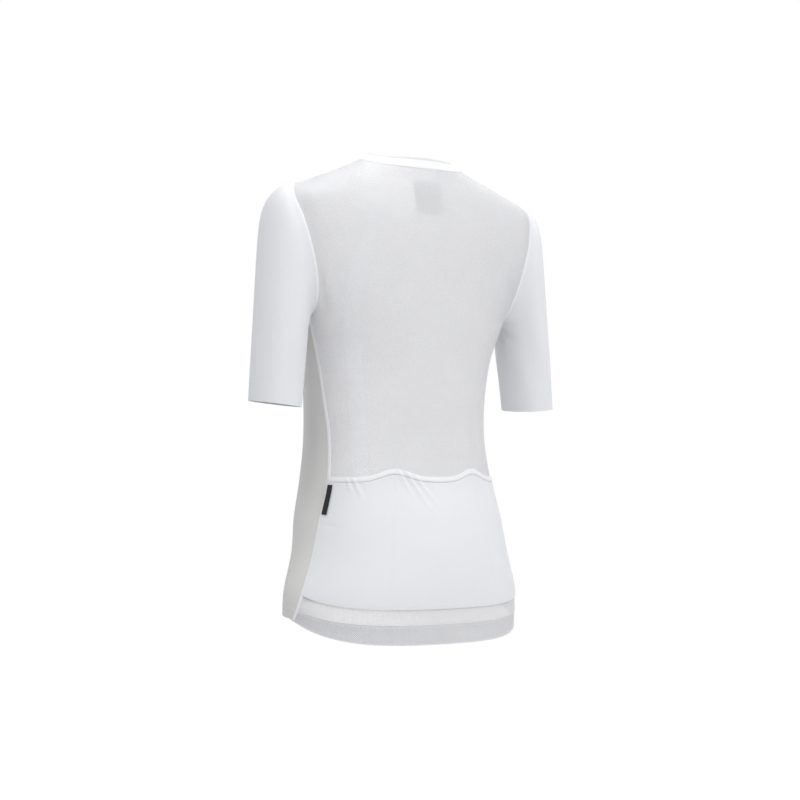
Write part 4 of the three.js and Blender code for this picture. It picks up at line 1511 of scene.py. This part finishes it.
@dataclass
class Pockets:
    """The pocket panel with its binding.

    Attributes:
        form: The jersey's form.
        wardrobe: The finishes.
        divisions: Places of the two stitched divisions, as shares of the width.
        margin: Share of the width left at each side seam.
        top_trough: Level of the mouth between the divisions.
        top_peak: Level of the mouth at the divisions.
        peak_width: Width of a peak, as a share of the panel's.
        bottom_middle: Level of the foot in the middle.
        bottom_side: Level of the foot at the sides.
        binding_share: Share of the height that the binding takes.
        half_wall: Half thickness of the panel in millimetres.
        cord: Height of the binding's roundness over that.
        bulge: Height of each pocket's swell.
        lift: Height of the panel over the back's middle surface.
        columns: Columns across the panel.
        rows: Rows up the panel.
        cuts: The panel's flat cut, filled in by make().
        folds: Soft creases, in shares of the width and of the height.
    """

    form: JerseyForm
    wardrobe: Wardrobe
    divisions: Sequence[float] = (0.31, 0.7)
    margin: float = 0.005
    top_trough: float = 4.06
    top_peak: float = 4.27
    peak_width: float = 0.085
    bottom_middle: float = 0.82
    bottom_side: float = 1.0
    binding_share: float = 0.04
    half_wall: float = 0.55
    cord: float = 0.25
    bulge: float = 1.4
    lift: float = 1.7
    columns: int = 200
    rows: int = 80
    cuts: dict[str, Cut] = field(default_factory=dict)
    folds: Sequence[Sequence[float]] = (
        (0.342, 0.94, 0.3, 0.009, 0.09, 1.1),
        (0.357, 0.93, 0.3, 0.007, 0.07, -0.7),
        (0.382, 0.935, 0.37, 0.011, 0.14, 1.3),
        (0.401, 0.93, 0.36, 0.009, 0.11, -0.9),
        (0.421, 0.93, 0.42, 0.012, 0.11, 0.9),
        (0.444, 0.92, 0.42, 0.009, 0.08, -0.6),
        (0.108, 0.94, 0.28, 0.009, 0.06, 0.9),
        (0.122, 0.93, 0.28, 0.007, 0.05, -0.6),
        (0.144, 0.93, 0.31, 0.01, 0.08, 1.0),
        (0.161, 0.92, 0.31, 0.008, 0.06, -0.6),
        (0.05, 0.6, 0.04, 0.035, 0.02, -0.4),
        (0.74, 0.3, 0.4, 0.03, 0.15, 0.6),
        (0.9, 0.88, -0.25, 0.009, 0.07, 0.8),
    )

    def edges(self, share: np.ndarray) -> tuple[np.ndarray, np.ndarray]:
        """Levels of the panel's lower and upper edges.

        The lower edge falls from the sides to the middle by a fourth power. The upper one has a
        bell over each division.

        Args:
            share: Share of the width.

        Returns:
            Lower and upper levels.
        """
        rise = sum(np.exp(-(((share - at) / self.peak_width) ** 2)) for at in self.divisions)
        low = mix(self.bottom_middle, self.bottom_side, np.abs(2 * share - 1) ** 4)
        return low / self.form.last, mix(self.top_trough, self.top_peak, rise) / self.form.last

    def height(self, share: np.ndarray, up: np.ndarray) -> np.ndarray:
        """Height of the panel over its plain lie: a squared sine in each pocket, and the folds."""
        bounds = np.array([0.0, *self.divisions, 1.0])
        pocket = np.clip(np.searchsorted(bounds, share, side="right") - 1, 0, 2)
        within = (share - bounds[pocket]) / (bounds[pocket + 1] - bounds[pocket])
        swell = np.sin(math.pi * within) ** 2 * np.sin(math.pi * np.minimum(up * 0.85, 1))
        return self.bulge * swell + soft_ridges(share, up, self.folds)

    def surface(self, share: np.ndarray, up: np.ndarray) -> ClothGrid:
        """The panel's middle surface at shares of its width and height.

        Args:
            share: Shares of the width, as a grid.
            up: Shares of the height, as a grid.

        Returns:
            The grid.
        """
        low, high = self.edges(share)
        level = mix(low, high, up)
        seam = self.form.seam_angle(level)
        angle = mix(seam, math.pi - seam, mix(self.margin, 1 - self.margin, share))
        normals = self.form.torso_normal(angle, level)
        places = self.form.torso(angle, level) + normals * (self.lift + self.height(share, up))[..., None]
        middle = share.shape[1] // 2
        return ClothGrid(places, normals, flat_cloth(places, middle, middle))

    def line(self, share: np.ndarray, up: np.ndarray, lift: float) -> SewnLine:
        """A line over the panel at shares of its width and height, lifted off its middle surface."""
        strip = self.surface(share[:, None], up[:, None]).lifted(lift)
        return SewnLine(strip.places[:, 0], strip.normals[:, 0])

    def grid(self, start: float, stop: float, rows: int) -> ClothGrid:
        """A part of the panel between two shares of its height.

        Args:
            start: Share of the height at the first row.
            stop: Share of the height at the last row.
            rows: Number of rows.

        Returns:
            The grid on the panel's middle surface.
        """
        share = np.linspace(0, 1, self.columns + 1)[None]
        up = np.linspace(start, stop, rows + 1)[:, None]
        return self.surface(*np.broadcast_arrays(share, up))

    def make(self) -> dict[str, bpy.types.Object]:
        """Make and dress the panel and its binding.

        Returns:
            The pieces by name.
        """
        panel = self.grid(0, 1 - self.binding_share - 0.003, self.rows)
        binding = self.grid(1 - self.binding_share, 1, 6)
        self.cuts = {"pocket": panel.cut()}
        across = np.linspace(-1, 1, 7)[:, None]
        wall = self.half_wall
        outer = np.broadcast_to(wall + self.cord * np.sqrt(1 - 0.9 * across**2), binding.places.shape[:2])
        made = cloth_wall("pocket_cloth", panel, wall, -wall)
        edge = cloth_wall("pocket_edge", binding, outer, -wall)
        return {
            "pocket": dress(made, self.wardrobe.pocket, "pocket_knit", ["pocket_panel"]),
            "binding": dress(edge, self.wardrobe.binding, "pocket_knit", ["pocket_binding"]),
        }


@dataclass
class Trims:
    """Gripper elastic inside the hem, and the neck label.

    Attributes:
        form: The jersey's form.
        wardrobe: The finishes.
        gripper_tall: Height of the elastic in millimetres.
        label_half_width: Half width of the label.
        label_top: Distance of the label's top below the neck ring.
        label_tall: Height of the label.
        zip_clear: Distance from the zip's middle at which the elastic ends.
        half_wall: Half thickness of both.
        inside: How far both lie inside the cloth's middle surface.
        cuts: The flat cuts, filled in by make().
    """

    form: JerseyForm
    wardrobe: Wardrobe
    gripper_tall: float = 24.0
    label_half_width: float = 21.0
    label_top: float = 17.5
    label_tall: float = 44.0
    zip_clear: float = 11.0
    half_wall: float = 0.5
    inside: float = 1.25
    cuts: dict[str, Cut] = field(default_factory=dict)

    def gripper(self) -> bpy.types.Object:
        """Elastic ring inside the hem, from one side of the zip to the other."""
        start = -math.pi / 2 + math.asin(self.zip_clear / self.form.half_width[0])
        band = self.gripper_tall / (self.form.z_back[1] - self.form.z_back[0]) / self.form.last
        angle = np.linspace(start, math.pi - start, 301)[None]
        level = np.linspace(0.04 * band, band, 9)[:, None]
        angle, level = np.broadcast_arrays(angle, level)
        places = self.form.torso(angle, level)
        normals = self.form.torso_normal(angle, level)
        grid = ClothGrid(places, normals, flat_cloth(places, 150, 150)).lifted(-self.inside)
        self.cuts["gripper"] = grid.cut()
        return cloth_wall("hem_elastic_band", grid, self.half_wall, -self.half_wall)

    def label(self) -> bpy.types.Object:
        """Plain label inside the back neck."""
        across = np.linspace(-1, 1, 31)[None] * self.label_half_width
        down = np.linspace(self.label_top + self.label_tall, self.label_top, 33)[:, None]
        level = 1 - np.interp(down, *self.neck_run())
        angle = math.pi / 2 - self.form.off_middle(across, level)
        level = np.broadcast_to(level, angle.shape)
        places = self.form.torso(angle, level)
        normals = self.form.torso_normal(angle, level)
        grid = ClothGrid(places, normals, flat_cloth(places, 15, 15)).lifted(-self.inside)
        self.cuts["label"] = grid.cut()
        return cloth_wall("neck_label_cloth", grid, self.half_wall, -self.half_wall)

    def neck_run(self) -> tuple[np.ndarray, np.ndarray]:
        """Distance down the middle of the back from the neck ring, and the levels below it."""
        below = np.linspace(0, 0.4, 200)
        line = self.form.torso(np.full(200, math.pi / 2), 1 - below)
        return run_length(line[:, None], 0)[:, 0], below

    def make(self) -> dict[str, bpy.types.Object]:
        """Make and dress the trims.

        Returns:
            The pieces by name.
        """
        gripper = dress(self.gripper(), self.wardrobe.elastic, "elastic", ["hem_gripper"])
        label = dress(self.label(), self.wardrobe.label, "label_cloth", ["neck_label"])
        return {"gripper": gripper, "label": label}


@dataclass
class SideTab:
    """Small folded tab in the left back-side seam.

    Attributes:
        pockets: The pocket panel that it lies on.
        wardrobe: The finishes.
        across: Share of the pocket's width that it reaches.
        low: Share of the panel's height at its lower end.
        high: Share of the panel's height at its upper end.
        wall: Thickness of one layer in millimetres.
        lift: Height of the tab over the panel's middle at the seam.
        spring: How much further off its folded edge stands.
    """

    pockets: Pockets
    wardrobe: Wardrobe
    across: float = 0.0267
    low: float = 0.686
    high: float = 0.933
    wall: float = 0.5
    lift: float = 1.35
    spring: float = 0.45

    def make(self) -> dict[str, bpy.types.Object]:
        """Make and dress the tab.

        Its height over the pocket rises from the seam to the folded edge by a quarter sine, and
        the wall tapers to a round edge by the root of one less the tenth power.

        Returns:
            The tab by name.
        """
        share = np.linspace(0, 1, 17)[None]
        up = np.linspace(self.low, self.high, 41)[:, None]
        share, up = np.broadcast_arrays(share, up)
        flat = self.pockets.surface(share * self.across, up)
        grid = flat.lifted(self.lift + self.spring * np.sin(share * math.pi / 2))
        ends = 2 * (up - self.low) / (self.high - self.low) - 1
        fold_edge = np.maximum(1 - np.maximum(share * 2 - 1, 0) ** 10, 0.12)
        edge = np.sqrt(fold_edge * np.maximum(1 - ends**30, 0.3))
        made = cloth_wall("side_tab_cloth", grid, self.wall * edge, -self.wall * edge)
        return {"side_tab": dress(made, self.wardrobe.tab, "tab_cloth", ["side_tab"])}


@dataclass
class SeamWork:
    """Flat seams and rows of stitches.

    Attributes:
        form: The jersey's form.
        wardrobe: The finishes.
        pockets: The pocket panel.
        tape: The seams' band.
        stitches: The stitches' size.
        hem_share: Height of the hem's stitches, as a level.
        armhole_rise: How much higher the armhole's band lies than the others, in millimetres.
        face: Height of stitches over the middle surface of a panel that they lie on.
        neck_clear: Distance from the zip's middle at which the neck's seam ends.
        hem_clear: The same for the hem's stitches.
        hem_rows: The hem's rows of stitches, as shares of their height.
        zip_rows: Distances of the zip's rows of stitches from its middle.
        pocket_face: Height of stitches over the pocket panel's middle surface.
        binding_face: The same on the binding.
        pocket_rows: The pocket panel's rows across, as shares of its height.
        binding_row: The same for the binding's row.
        division_half: Half the distance between a division's two rows, as a share of the width.
    """

    form: JerseyForm
    wardrobe: Wardrobe
    pockets: Pockets
    tape: SeamTape = field(default_factory=SeamTape)
    stitches: Stitches = field(default_factory=Stitches)
    hem_share: float = 0.0315
    armhole_rise: float = 0.35
    face: float = 0.7
    neck_clear: float = 3.4
    hem_clear: float = 4.6
    hem_rows: Sequence[float] = (1.0, 0.86)
    zip_rows: Sequence[float] = (4.8, 10.5)
    pocket_face: float = 0.62
    binding_face: float = 1.08
    pocket_rows: Sequence[float] = (0.012, 0.028, 0.938)
    binding_row: float = 0.97
    division_half: float = 0.0032

    def on_torso(self, angle: np.ndarray, level: np.ndarray, up: float = 0.0) -> SewnLine:
        """Draw a line on the torso.

        The sides are unit vectors square to the line's own run and to the normal.

        Args:
            angle: Angles along the line in radians.
            level: Levels along the line.
            up: Height over the middle surface in millimetres.

        Returns:
            The line.
        """
        places = self.form.torso(angle, level)
        normals = self.form.torso_normal(angle, level)
        across = unit(np.cross(np.gradient(places, axis=0), normals))
        return SewnLine(places + normals * up, normals, -across, across)

    def side_seam(self) -> SewnLine:
        """Left back-side seam, from the hem to the underarm."""
        level = np.linspace(0.003, Level.UNDERARM.value, 260)
        return self.on_torso(self.form.seam_angle(level), level)

    def shoulder_seam(self) -> SewnLine:
        """Left shoulder seam, from the shoulder tip to the neck."""
        level = np.linspace(Level.SHOULDER_TIP.value, 0.995, 90)
        return self.on_torso(np.full(90, math.radians(self.form.shoulder_seam)), level)

    def armhole_seam(self) -> SewnLine:
        """Left armhole seam, all round.

        One side lies on the torso, away from the hole's middle in angle and level, and the other
        on the sleeve.

        Returns:
            The line.
        """
        turn = np.linspace(0, TURN, 300)
        angle, level = self.form.armhole(turn)
        places = self.form.torso(angle, level)
        run = unit(np.roll(places[:-1], -1, axis=0) - np.roll(places[:-1], 1, axis=0))
        run = np.concatenate([run, run[:1]])
        middle = (math.radians(-1), (Level.SHOULDER_TIP.value + Level.UNDERARM.value) / 2)
        on_torso = self.form.torso(mix(middle[0], angle, 1.03), mix(middle[1], level, 1.03)) - places
        on_sleeve = self.form.sleeve(turn, np.full_like(turn, 0.02)) - places
        normals = self.form.armhole_normal(turn)
        square = unit(np.cross(run, normals))
        sides = [
            square * np.where(np.sum(side * square, axis=-1, keepdims=True) < 0, -1.0, 1.0)
            for side in (on_torso, on_sleeve)
        ]
        height = self.form.seam_swell(turn, np.zeros_like(turn))[:, None] + self.armhole_rise
        return SewnLine(places + normals * height, normals, *sides)

    def neck_seam(self) -> SewnLine:
        """Seam between the panels and the collar, from the zip round to the zip."""
        edge = -math.pi / 2 + math.asin(self.neck_clear / self.form.half_width[-1])
        angle = np.linspace(edge, math.pi - edge, 260)
        places = self.form.torso(angle, np.ones(260))
        down = unit(self.form.torso(angle, np.full(260, 0.99)) - places)
        up = unit(self.form.collar(angle, np.full(260, 0.2)) - places)
        return SewnLine(places, self.form.neck_normal(angle), down, up)

    def hem_lines(self) -> list[SewnLine]:
        """Two rows of stitches round the hem, at the top of the elastic."""
        edge = -math.pi / 2 + math.asin(self.hem_clear / self.form.half_width[0])
        angle = np.linspace(edge, math.pi - edge, 600)
        levels = (np.full(600, self.hem_share * share) for share in self.hem_rows)
        return [self.on_torso(angle, level, self.face) for level in levels]

    def zip_lines(self) -> list[SewnLine]:
        """Two rows of stitches down each side of the zip."""
        level = np.linspace(0.002, 0.995, 400)
        lines = []
        for away in self.zip_rows:
            angle = -math.pi / 2 + self.form.off_middle(away, level)
            line = self.on_torso(angle, level, self.face)
            lines += [line, line.mirrored()]
        return lines

    def pocket_lines(self) -> list[SewnLine]:
        """Rows of stitches on the pocket panel: divisions, foot and below the binding."""
        lines = []
        up = np.linspace(0.012, 0.95, 200)
        for division in self.pockets.divisions:
            for side in (-self.division_half, self.division_half):
                lines.append(self.pockets.line(np.full(200, division + side), up, self.pocket_face))
        across = np.linspace(0.004, 0.996, 300)
        for height in self.pocket_rows:
            lines.append(self.pockets.line(across, np.full(300, height), self.pocket_face))
        lines.append(self.pockets.line(across, np.full(300, self.binding_row), self.binding_face))
        return lines

    def seam(self, name: str, line: SewnLine, slot: str = "smooth_knit") -> bpy.types.Object:
        """Make and dress one flat seam."""
        grid = self.tape.grid(line)
        return dress(cloth_wall(name, grid, 0.0, -self.tape.depth), self.wardrobe.seam, slot)

    def make(self) -> dict[str, bpy.types.Object]:
        """Make and dress the seams and stitches.

        Returns:
            The pieces by name.
        """
        side, shoulder, armhole = self.side_seam(), self.shoulder_seam(), self.armhole_seam()
        made: dict[str, bpy.types.Object] = {}
        for name, line in (("side_seam", side), ("shoulder_seam", shoulder), ("armhole_seam", armhole)):
            made[f"{name}_left"] = self.seam(f"{name}_left", line)
            made[f"{name}_right"] = self.seam(f"{name}_right", line.mirrored())
        neck = self.neck_seam()
        made["neck_seam"] = self.seam("neck_seam", neck, "collar_knit")
        rows: list[SewnLine] = []
        reach = self.tape.half_width * self.tape.thread_share
        top = self.tape.thread_base + self.tape.rise
        for line in (side, shoulder, armhole):
            for across in (-reach, reach):
                rows += [line.moved(across, top), line.mirrored().moved(across, top)]
        rows += [neck.moved(-reach, top), neck.moved(reach, top)]
        sewn = (
            ("seam_stitches", rows, "smooth_knit"),
            ("hem_stitches", self.hem_lines(), "elastic"),
            ("zip_stitches", self.zip_lines(), "zip_cloth"),
            ("pocket_stitches", self.pocket_lines(), "pocket_knit"),
        )
        for name, lines, slot in sewn:
            made[name] = dress(self.stitches.make(name, lines), self.wardrobe.thread, slot)
        return made


@dataclass
class FrontZip:
    """Zip down the front: tape, coil, slider and pull tab.

    Attributes:
        form: The jersey's form.
        wardrobe: The finishes.
        tape_half: Half width of the tape in millimetres.
        tape_wall: Thickness of the tape.
        depth: How far the tape's middle lies inside the cloth's middle surface.
        tooth_pitch: Distance between the coil's turns.
        tooth_reach: How far a turn reaches on its own side, and past the middle.
        tooth: Shape of a turn.
        coil_depth: How far the coil's middle lies inside the cloth's middle surface.
        slider_round: Width of the rounding on the slider's edges, kept clear of the pull.
        pull_round: The same on the pull.
        cuts: The tape's flat cut, filled in by make().
    """

    form: JerseyForm
    wardrobe: Wardrobe
    tape_half: float = 13.0
    tape_wall: float = 1.0
    depth: float = 1.52
    tooth_pitch: float = 1.3
    tooth_reach: Sequence[float] = (2.5, 0.8)
    tooth: Spindles = field(default_factory=lambda: Spindles(0.42, 6, 0.7, 0.25))
    coil_depth: float = 0.42
    slider_round: float = 0.24
    pull_round: float = 0.25
    cuts: dict[str, Cut] = field(default_factory=dict)

    def grid(self, half: float, columns: int) -> ClothGrid:
        """Strip down the front's middle surface, from the hem up the collar.

        Args:
            half: Half width of the strip in millimetres.
            columns: Columns across it.

        Returns:
            The grid, from the wearer's right to left.
        """
        x = np.linspace(-half, half, columns + 1)[None]
        level = np.linspace(0.0015, 1, 300)[:, None]
        share = np.linspace(0.06, 1, 9)[:, None]
        angle = -math.pi / 2 + self.form.off_middle(x, level)
        top = np.broadcast_to(angle[-1:], (9, columns + 1))
        level = np.broadcast_to(level, angle.shape)
        share = np.broadcast_to(share, top.shape)
        places = np.concatenate([self.form.torso(angle, level), self.form.collar(top, share)])
        normals = np.concatenate([self.form.torso_normal(angle, level), self.form.collar_normal(top, share)])
        return ClothGrid(places, normals, flat_cloth(places, columns // 2, columns // 2))

    def coil(self) -> bpy.types.Object:
        """Turns of the coil: one from each side in turn, each reaching a little past the middle."""
        line = self.grid(1.0, 2).lifted(-self.coil_depth)
        places, normals = line.places[:, 1], line.normals[:, 1]
        run = run_length(line.places, 0)[:, 1]
        at = np.arange(self.tooth_pitch, run[-1] - 2.0, self.tooth_pitch / 2)
        middle = Stitches.read(run, places, at)
        up = unit(Stitches.read(run, normals, at))
        sign = np.where(np.arange(len(at)) % 2 == 0, 1.0, -1.0)[:, None]
        side = np.array([1.0, 0.0, 0.0])
        start = middle - side * sign * self.tooth_reach[1]
        end = middle + side * sign * self.tooth_reach[0]
        return self.tooth.make("zip_coil_turns", start, end, up)

    def rounded_copy(self, node: str, name: str, width: float) -> bpy.types.Object:
        """Copy a small hard piece with its edges rounded.

        Args:
            node: The node to copy.
            name: The new object's name.
            width: Width of the rounding in millimetres.

        Returns:
            The copy, with its place in its mesh.
        """
        source = bpy.data.objects[node]
        shape = bmesh.new()
        shape.from_mesh(source.data)
        shape.transform(source.matrix_world)
        bmesh.ops.remove_doubles(shape, verts=shape.verts, dist=1e-6)
        bmesh.ops.dissolve_limit(shape, angle_limit=math.radians(1), verts=shape.verts, edges=shape.edges)
        sharp = [edge for edge in shape.edges if edge.is_convex and edge.calc_face_angle(0) > 0.35]
        bmesh.ops.bevel(
            shape, geom=sharp, offset=width * MM, segments=3, profile=0.5, affect="EDGES", clamp_overlap=True
        )
        bmesh.ops.recalc_face_normals(shape, faces=shape.faces)
        mesh = bpy.data.meshes.new(name)
        shape.to_mesh(mesh)
        shape.free()
        mesh.polygons.foreach_set("use_smooth", np.ones(len(mesh.polygons), bool))
        mesh.set_sharp_from_angle(angle=math.radians(38))
        made = bpy.data.objects.new(name, mesh)
        bpy.context.scene.collection.objects.link(made)
        return made

    def make(self) -> dict[str, bpy.types.Object]:
        """Make and dress the zip.

        Returns:
            The pieces by name.
        """
        grid = self.grid(self.tape_half, 26).lifted(-self.depth)
        self.cuts = {"zip_tape": grid.cut()}
        half = self.tape_wall / 2
        tape = cloth_wall("zip_tape_cloth", grid, half, -half)
        slider = self.rounded_copy("zip_slider", "zip_slider_body", self.slider_round)
        pull = self.rounded_copy("zip_pull", "zip_pull_tab", self.pull_round)
        return {
            "zip_tape": dress(tape, self.wardrobe.tape, "zip_cloth", ["zip_tape"]),
            "zip_coil": dress(self.coil(), self.wardrobe.coil, "zip_cloth"),
            "zip_slider": dress(slider, self.wardrobe.metal, "zip_metal", ["zip_slider"]),
            "zip_pull": dress(pull, self.wardrobe.metal, "zip_metal", ["zip_pull"], PULL),
        }


def stand(made: bpy.types.Object, place: Sequence[float], target: Sequence[float]) -> None:
    """Stand a light or a camera at a place, with its face to a target."""
    made.location = place
    towards = Vector(target) - Vector(place)
    made.rotation_euler = towards.to_track_quat("-Z", "Y").to_euler()
    bpy.context.scene.collection.objects.link(made)


@dataclass(frozen=True)
class SoftLight:
    """A square light that looks at the jersey.

    Attributes:
        name: Its name.
        place: Where it stands, in metres.
        size: Its side in metres.
        power: Its power in watts.
        target: What it looks at.
    """

    name: str
    place: Sequence[float]
    size: float
    power: float
    target: Sequence[float] = (0.0, 0.0, -0.3)

    def make(self) -> None:
        """Make the light."""
        lamp = bpy.data.lights.new(self.name, "AREA")
        lamp.shape = "SQUARE"
        lamp.size = self.size
        lamp.energy = self.power
        stand(bpy.data.objects.new(self.name, lamp), self.place, self.target)


@dataclass
class Studio:
    """Floor, backdrop, light and camera.

    Attributes:
        camera_place: Where the camera stands, in metres.
        target: What it looks at.
        lens: Focal length in millimetres on a sensor of 36.
        floor: Height of the floor.
        backdrop_distance: Distance of the backdrop behind the jersey.
        backdrop_half_width: Half width of the backdrop.
        backdrop_top: Height of its top edge.
        air_from: Direction that the studio's air is palest from.
        air_low: Brightness of the air on the far side.
        air_high: Brightness of the air on the pale side.
        lights: The studio's lights.
        inner_place: Middle of the lamp inside the torso.
        inner_size: Width and height of that lamp.
        inner_power: Its power in watts.
    """

    camera_place: Sequence[float] = (1.3365, 1.9087, -0.377)
    target: Sequence[float] = (0.0, 0.0, -0.295)
    lens: float = 83.25
    floor: float = -1.0
    backdrop_distance: float = 2.9
    backdrop_half_width: float = 1.3
    backdrop_top: float = 2.4
    air_from: Sequence[float] = (-0.15, 0.45, 0.9)
    air_low: float = 0.18
    air_high: float = 0.95
    lights: Sequence[SoftLight] = (
        SoftLight("overhead", (0.6, 0.9, 2.6), 2.4, 9.0),
        SoftLight("key", (-0.3, 3.0, 1.0), 2.0, 22.0),
        SoftLight("side", (1.3, 0.1, 1.9), 1.0, 13.0),
    )
    inner_place: Sequence[float] = (0.0, 0.035, -0.25)
    inner_size: Sequence[float] = (0.16, 0.42)
    inner_power: float = 0.22

    def sheet(self, name: str, corners: Sequence[Sequence[float]]) -> bpy.types.Object:
        """Make a flat stage sheet through four corners in metres."""
        made = new_object(name, np.array(corners, float) / MM, np.array([[0, 1, 2, 3]]), None)
        return made

    def floor_paint(self) -> bpy.types.Material:
        """Make the floor's pale paint, which runs out into plain white behind the jersey."""
        book = ShaderBook.named("floor_paint")
        parts = book.node("ShaderNodeSeparateXYZ", {}, {0: book.object_place()})
        x, y = Signal(book, parts.outputs[0]), Signal(book, parts.outputs[1])
        away = self.camera_place
        length = math.hypot(away[0], away[1])
        behind = (x * (-away[0] / length) + y * (-away[1] / length)).ramp(0.7, 1.05)
        return book.finish({
            "Base Color": (0.5, 0.5, 0.5, 1),
            "Roughness": 0.9,
            "Specular IOR Level": 0.0,
            "Emission Color": book.blend(behind, (0.0, 0.0, 0.0, 1), (1, 1, 1, 1)),
            "Emission Strength": 1.0,
        })

    def backdrop_paint(self) -> bpy.types.Material:
        """Make the backdrop's plain lit white."""
        return ShaderBook.named("backdrop_paint").finish({
            "Base Color": (0.0, 0.0, 0.0, 1),
            "Specular IOR Level": 0.0,
            "Emission Color": (1, 1, 1, 1),
            "Emission Strength": 1.0,
        })

    def backdrop(self) -> bpy.types.Object:
        """Stand a white sheet behind the jersey, square to the camera's direction."""
        away = Vector((-self.camera_place[0], -self.camera_place[1], 0)).normalized()
        side = Vector((away.y, -away.x, 0))
        middle = away * self.backdrop_distance
        half, top = self.backdrop_half_width, self.backdrop_top
        corners = [
            tuple(middle + side * half * way + Vector((0, 0, height)))
            for way, height in ((-1, self.floor), (1, self.floor), (1, top), (-1, top))
        ]
        made = self.sheet("backdrop", corners)
        made.data.materials.append(self.backdrop_paint())
        return made

    def inner_light(self) -> None:
        """Light the fronts' inner faces softly, as light does that passes through thin white cloth."""
        lamp = bpy.data.lights.new("through_cloth", "AREA")
        lamp.shape = "RECTANGLE"
        lamp.size, lamp.size_y = self.inner_size
        lamp.energy = self.inner_power
        made = bpy.data.objects.new("through_cloth", lamp)
        made.location = self.inner_place
        made.rotation_euler = Vector((0, -1, 0)).to_track_quat("-Z", "Z").to_euler()
        made.visible_camera = False
        bpy.context.scene.collection.objects.link(made)

    def world(self) -> None:
        """Set the studio's air: pale from above and behind the camera, and dimmer from below."""
        world = bpy.data.worlds.new("studio_air")
        book = ShaderBook(world)
        place = book.node("ShaderNodeTexCoord").outputs["Generated"]
        towards = Vector(self.air_from).normalized()
        dot = book.node("ShaderNodeVectorMath", {"operation": "DOT_PRODUCT"}, {0: place, 1: tuple(towards)})
        share = Signal(book, dot.outputs["Value"]).ramp(-0.55, 0.75)
        low, high = self.air_low, self.air_high
        tone = book.blend(share, (low, low, low, 1), (high, high, high, 1))
        air = book.node("ShaderNodeBackground", {}, {0: tone, 1: 1.0})
        book.node("ShaderNodeOutputWorld", {}, {0: air.outputs[0]})
        bpy.context.scene.world = world

    def make(self) -> None:
        """Set the stage, the lights and the camera."""
        scene = bpy.context.scene
        low = self.floor
        floor = self.sheet("floor", [(-9, -9, low), (9, -9, low), (9, 9, low), (-9, 9, low)])
        floor.data.materials.append(self.floor_paint())
        self.backdrop()
        self.world()
        for light in self.lights:
            light.make()
        self.inner_light()
        scene.view_settings.view_transform = "Standard"
        scene.view_settings.look = "None"
        lens = bpy.data.cameras.new("camera")
        lens.lens = self.lens
        lens.sensor_width = 36.0
        lens.clip_end = 60.0
        camera = bpy.data.objects.new("camera", lens)
        stand(camera, self.camera_place, self.target)
        scene.camera = camera


def main() -> None:
    """Build the jersey, piece by piece, and report each."""
    logging.basicConfig(level=logging.INFO, format="%(message)s")
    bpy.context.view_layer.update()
    form = JerseyForm()
    wardrobe = Wardrobe()
    torso = Torso(form, wardrobe)
    sleeves = Sleeves(form, wardrobe)
    collar = Collar(form, wardrobe)
    pockets = Pockets(form, wardrobe)
    trims = Trims(form, wardrobe)
    tab = SideTab(pockets, wardrobe)
    seams = SeamWork(form, wardrobe, pockets)
    front_zip = FrontZip(form, wardrobe)
    for builder in (torso, sleeves, collar, pockets, trims, tab, seams, front_zip):
        for name, piece in builder.make().items():
            LOG.info("%s: %d faces", name, len(piece.data.polygons))
    Studio().make()


if __name__ == "__main__":
    main()
